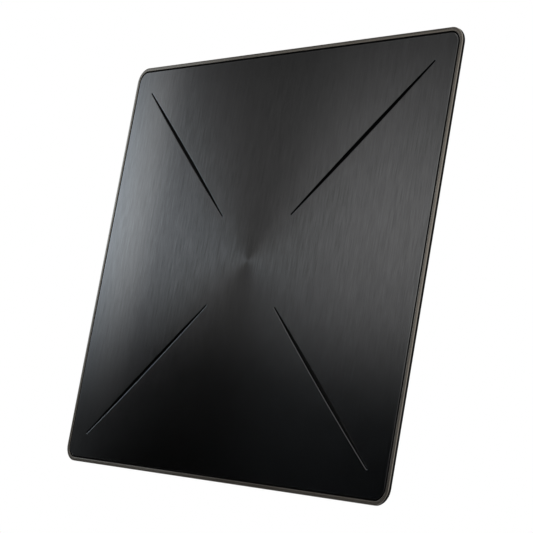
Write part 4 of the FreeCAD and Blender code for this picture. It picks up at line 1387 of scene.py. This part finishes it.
    def thread_radius(self, height: float, end: float, stop: float) -> Callable[[float], float]:
        """Works out the thread's section at one height.

        Args:
            height: The height along Z.
            end: Place of the open end.
            stop: Place where the thread runs out.

        Returns:
            The radius at an angle.
        """
        lead = min(1.0, (height - end) / self.lead_in)
        run_out = min(1.0, (stop - height) / self.pitch)
        limit = self.crest - self.lead_in * (1.0 - lead)
        peak, steepness = self.ridge

        def radius(angle: float) -> float:
            """Gives the radius of the turn that passes this angle."""
            phase = (height / self.pitch - angle / TURN) % 1.0
            ridge = min(1.0, max(0.0, peak - steepness * abs(phase - 0.5)))
            cut = self.groove + (self.crest - self.groove) * ridge
            return min(limit, cut + (self.neck - cut) * (1.0 - run_out))

        return radius

    def hexagon(self) -> Ring:
        """Lists points along the sides of a hexagon about the axis.

        Returns:
            The points in order.
        """
        corner = self.flats / math.sqrt(3.0)
        angles = [TURN * side / 6 for side in range(6)]
        return self.along_sides([Vector((corner * math.cos(angle), corner * math.sin(angle), 0.0))
                                 for angle in angles])

    def block_outline(self) -> Ring:
        """Lists points along the sides of the block about the axis."""
        half, front, rear = self.block
        return self.along_sides([Vector((half, rear, 0.0)), Vector((-half, rear, 0.0)),
                                 Vector((-half, -front, 0.0)), Vector((half, -front, 0.0))])

    def along_sides(self, corners: Ring) -> Ring:
        """Divides the sides of an outline evenly.

        Args:
            corners: The outline's corners.

        Returns:
            The points in order.
        """
        following = corners[1:] + corners[:1]
        return [start.lerp(stop, step / self.side_points) for start, stop in zip(corners, following)
                for step in range(self.side_points)]

    def add_prism(self, skin: Skin, outline: Ring, bore: float, low: float, high: float,
                  limit: float) -> None:
        """Adds a bored prism about the axis, with corners that are turned off at both ends.

        Args:
            skin: The mesh in work.
            outline: The prism's outline about the axis.
            bore: Radius of its bore.
            low: Lower end along Z.
            high: Upper end along Z.
            limit: Radius that the ends are turned down to.
        """
        slope = math.tan(math.radians(self.turning_angle))
        lift = Vector((0.0, self.axis, 0.0))

        def level(height: float, reach: Callable[[Vector], float], drop: Callable[[Vector], float]) -> Ring:
            """Scales the outline at one level, and drops each point from it."""
            return [point.normalized() * reach(point) + lift + UP * (height + drop(point))
                    for point in outline]

        def turned(point: Vector) -> float:
            """Limits a point's radius to what is turned down."""
            return min(point.length, limit)

        def fall(point: Vector) -> float:
            """Gives how far the bevel falls at a point."""
            return (point.length - turned(point)) * slope

        skin.wrap([level(low, lambda point: bore, lambda point: 0.0),
                   level(low, turned, lambda point: 0.0),
                   level(low, lambda point: point.length, fall),
                   level(high, lambda point: point.length, lambda point: -fall(point)),
                   level(high, turned, lambda point: 0.0),
                   level(high, lambda point: bore, lambda point: 0.0)])


@dataclass(frozen=True)
class SoftWindow:
    """A soft-edged field of light on the dark wall, measured from the wall's middle in metres.

    Args:
        level: Brightness in its middle.
        colour: Colour of its light.
        bottom: Where its lower edge starts to glow and where it is full.
        top: Where its upper edge starts to fade and where it is dark.
        side: Where its inner edge starts to glow and where it is full, or None for the whole width.
    """

    level: float
    colour: Colour
    bottom: Pair
    top: Pair
    side: Pair | None = None

    def glow(self, desk: NodeDesk, across: Feed, height: Feed) -> Socket:
        """Works out the field's light.

        Args:
            desk: The wall's node tree.
            across: The place across the wall.
            height: The height on the wall.

        Returns:
            The colour of its light.
        """
        share = desk.sum_up("MULTIPLY", desk.span(height, *self.bottom),
                            desk.span(height, *self.top, 1.0, 0.0))
        if self.side:
            share = desk.sum_up("MULTIPLY", share, desk.span(across, *self.side))
        return desk.blend(share, BLACK, full(self.colour, self.level))


@dataclass
class Studio:
    """White surround, soft lamps, a striplight wall that the face mirrors, black flags and the camera.

    Args:
        middle: The middle of the front face.
        ambience: Strength of the surround's soft light.
        lamps: Soft lamps by name, each with its place from the middle, power in watts and width in metres.
        floor_size: Width and depth of the floor, in metres.
        floor_colour: Colour of the floor.
        floor_drop: How far the floor lies under the middle of the face, in metres.
        floor_lift: Light that the floor shows to the camera, so that it meets the white surround.
        wall_bearing: Bearing of the striplight wall to the left of straight ahead, in degrees.
        wall_distance: Its distance from the middle, in metres.
        wall_size: Its width and height, in metres.
        windows: The soft fields of light on that wall.
        flags: Black flags by name, each with its place from the middle, its width and its height in metres.
        camera_place: The camera from the middle, in metres.
        camera_aim: Where it looks, from the middle, in metres.
        camera_roll: Its turn about its own line of sight, in degrees.
        picture_width: Width of its picture plane, in millimetres.
        lens: Its focal length, in millimetres.
    """

    middle: Vector
    ambience: float = 0.6
    lamps: dict[str, tuple[Triple, float, float]] = field(default_factory=lambda: {
        "key_lamp": ((-0.6, -1.5, 1.3), 26.0, 1.2),
        "back_lamp": ((-1.1, 1.7, 1.2), 24.0, 1.2)})
    floor_size: Pair = (6.0, 6.0)
    floor_colour: Colour = (0.9, 0.9, 0.9)
    floor_drop: float = 0.75
    floor_lift: float = 0.3
    wall_bearing: float = 50.0
    wall_distance: float = 2.4
    wall_size: Pair = (12.0, 9.0)
    windows: tuple[SoftWindow, ...] = (
        SoftWindow(0.24, (1.0, 1.0, 1.0), (0.116, 0.343), (0.365, 1.265)),
        SoftWindow(1.56, (1.0, 1.0, 1.0), (-0.047, 0.446), (0.438, 1.047), (0.178, 0.260)),
        SoftWindow(0.55, (0.0, 0.5, 1.0), (-0.047, 0.446), (0.438, 1.047), (0.235, 0.330)),
        SoftWindow(0.54, (1.0, 1.0, 1.0), (0.029, 0.627), (0.432, 1.108), (-0.015, -0.261)),
        SoftWindow(0.12, (0.94, 1.0, 1.06), (-0.8, -0.3), (0.1, 0.5), (0.20, 0.32)),
        SoftWindow(0.90, (1.0, 1.0, 1.0), (1.0, 1.5), (4.3, 4.5), (-0.35, -0.70)),
        SoftWindow(0.35, (1.0, 1.0, 1.0), (-0.3, 0.2), (1.0, 1.5), (-0.90, -1.30)))
    flags: dict[str, tuple[Triple, float, float]] = field(default_factory=lambda: {
        "right_flag": ((0.90, 0.77, 0.18), 1.1, 1.1),
        "left_flag": ((-0.90, 0.77, -0.18), 1.1, 0.8),
        "lower_flag": ((-0.15, -0.42, -0.60), 1.8, 1.5)})
    camera_place: Triple = (0.8820, -0.7407, -0.1770)
    camera_aim: Triple = (0.02027, 0.0, -0.00386)
    camera_roll: float = 10.17
    picture_width: float = 36.0
    lens: float = 116.62

    def build(self) -> None:
        """Sets up the surround, floor, wall, flags, lamps and camera."""
        self.make_surround()
        self.make_floor()
        self.make_striplight_wall()
        for name, (place, width, height) in self.flags.items():
            self.make_flag(name, Vector(place), width, height)
        for name, (place, power, width) in self.lamps.items():
            self.make_lamp(name, Vector(place), power, width)
        self.make_camera()
        log.info("the studio has %d lamps and %d flags", len(self.lamps), len(self.flags))

    def make_surround(self) -> None:
        """Makes the world: white to look at and in mirrors, softer as a light."""
        world = bpy.data.worlds.new("white_surround")
        bpy.context.scene.world = world
        world.use_nodes = True
        desk = NodeDesk(world.node_tree)
        rays = desk.add("LightPath").outputs
        seen = desk.sum_up("ADD", rays["Is Camera Ray"], rays["Is Glossy Ray"], clamp=True)
        shown = desk.sum_up("ADD", seen, rays["Is Transmission Ray"], clamp=True)
        strength = desk.add("MapRange", {"Value": shown, "To Min": self.ambience, "To Max": 1.0})
        surface = world.node_tree.nodes["Background"]
        desk.feed(surface.inputs["Color"], WHITE)
        desk.feed(surface.inputs["Strength"], strength.outputs["Result"])

    @staticmethod
    def card(name: str, width: float, height: float) -> bpy.types.Object:
        """Adds a flat card to the stage.

        Args:
            name: Its name.
            width: Its width in metres.
            height: Its height in metres.

        Returns:
            The card, flat on the ground plane.
        """
        mesh = bpy.data.meshes.new(name)
        across, up = width / 2, height / 2
        corners = [(-across, -up, 0), (across, -up, 0), (across, up, 0), (-across, up, 0)]
        mesh.from_pydata(corners, [], [(0, 1, 2, 3)])
        card = add_object(name, mesh)
        return card

    def make_floor(self) -> None:
        """Lays a plain pale floor well under the panel, clear when it is looked at from below."""
        floor = self.card("floor", *self.floor_size)
        floor.location = self.middle - UP * self.floor_drop
        coat = Coat.start("pale_floor", {"Base Color": full(self.floor_colour), "Roughness": 0.9,
                                         "Emission Color": WHITE})
        rays = coat.desk.add("LightPath").outputs
        under = coat.desk.add("NewGeometry").outputs["Backfacing"]
        coat.paint(Emission_Strength=coat.desk.sum_up("MULTIPLY", rays["Is Camera Ray"], self.floor_lift),
                   Alpha=coat.desk.sum_up("SUBTRACT", 1.0, under))
        floor.data.materials.append(coat.material)

    def make_striplight_wall(self) -> None:
        """Stands a dark wall with soft fields of light on it where the face mirrors it."""
        bearing = math.radians(self.wall_bearing)
        away = Vector((-math.sin(bearing), -math.cos(bearing), 0.0))
        across = Vector((away.y, -away.x, 0.0))
        wall = self.card("striplight_wall", *self.wall_size)
        turn = Matrix((across, UP, across.cross(UP))).transposed().to_4x4()
        wall.matrix_world = Matrix.Translation(self.middle + away * self.wall_distance) @ turn
        self.keep_to_mirrors(wall)
        material = bpy.data.materials.new("striplight")
        material.use_nodes = True
        material.node_tree.nodes.clear()
        desk = NodeDesk(material.node_tree)
        place = desk.add("SeparateXYZ", {0: desk.add("TexCoord").outputs["Object"]}).outputs
        light: Feed = BLACK
        for window in self.windows:
            light = desk.blend(1.0, light, window.glow(desk, place["X"], place["Y"]), "ADD")
        lamp = desk.add("Emission", {"Color": light, "Strength": 1.0})
        desk.feed(desk.add("OutputMaterial").inputs["Surface"], lamp.outputs[0])
        wall.data.materials.append(material)

    @staticmethod
    def keep_to_mirrors(card: bpy.types.Object) -> None:
        """Lets only mirrored light meet a card, so that it neither shows nor shades."""
        for rays in ("camera", "diffuse", "transmission", "volume_scatter", "shadow"):
            setattr(card, "visible_" + rays, False)

    def make_flag(self, name: str, place: Vector, width: float, height: float) -> None:
        """Hangs a black flag that the panel's edges mirror.

        Args:
            name: Its name.
            place: Its place from the middle of the face.
            width: Its width in metres.
            height: Its height in metres.
        """
        flag = self.card(name, width, height)
        turn = place.to_track_quat("Z", "Y").to_matrix().to_4x4()
        flag.matrix_world = Matrix.Translation(self.middle + place) @ turn
        self.keep_to_mirrors(flag)
        cloth = Coat.start(name, {"Base Color": BLACK, "Specular IOR Level": 0.0})
        flag.data.materials.append(cloth.material)

    def make_lamp(self, name: str, place: Vector, power: float, width: float) -> None:
        """Hangs a square soft lamp that faces the middle of the panel.

        Args:
            name: Its name.
            place: Its place from the middle of the face.
            power: Its power in watts.
            width: Its width in metres.
        """
        data = bpy.data.lights.new(name, "AREA")
        data.energy = power
        data.size = width
        lamp = add_object(name, data)
        lamp.location = self.middle + place
        lamp.rotation_euler = (-place).to_track_quat("-Z", "Y").to_euler()
        lamp.visible_glossy = False

    def make_camera(self) -> None:
        """Sets the camera where the photograph was taken from."""
        data = bpy.data.cameras.new("camera")
        data.lens = self.lens
        data.sensor_width = self.picture_width
        camera = add_object("camera", data)
        place = self.middle + Vector(self.camera_place)
        sight = (self.middle + Vector(self.camera_aim) - place).normalized()
        level = sight.cross(UP).normalized()
        right = Matrix.Rotation(math.radians(-self.camera_roll), 3, sight) @ level
        turn = Matrix((right, right.cross(sight), -sight)).transposed().to_4x4()
        camera.matrix_world = Matrix.Translation(place) @ turn
        bpy.context.scene.camera = camera


def main() -> None:
    """Builds and dresses the antenna, then the studio round it."""
    logging.basicConfig(level=logging.INFO, format="%(name)s: %(message)s")
    bpy.context.scene.view_settings.view_transform = "Standard"
    palette = Palette.mix()
    panel = FacePanel()
    for assembly in (panel, Housing(), Receiver(), CoaxJack()):
        assembly.build(palette)
    Studio(panel.outline.middle()).build()


if __name__ == "__main__":
    main()
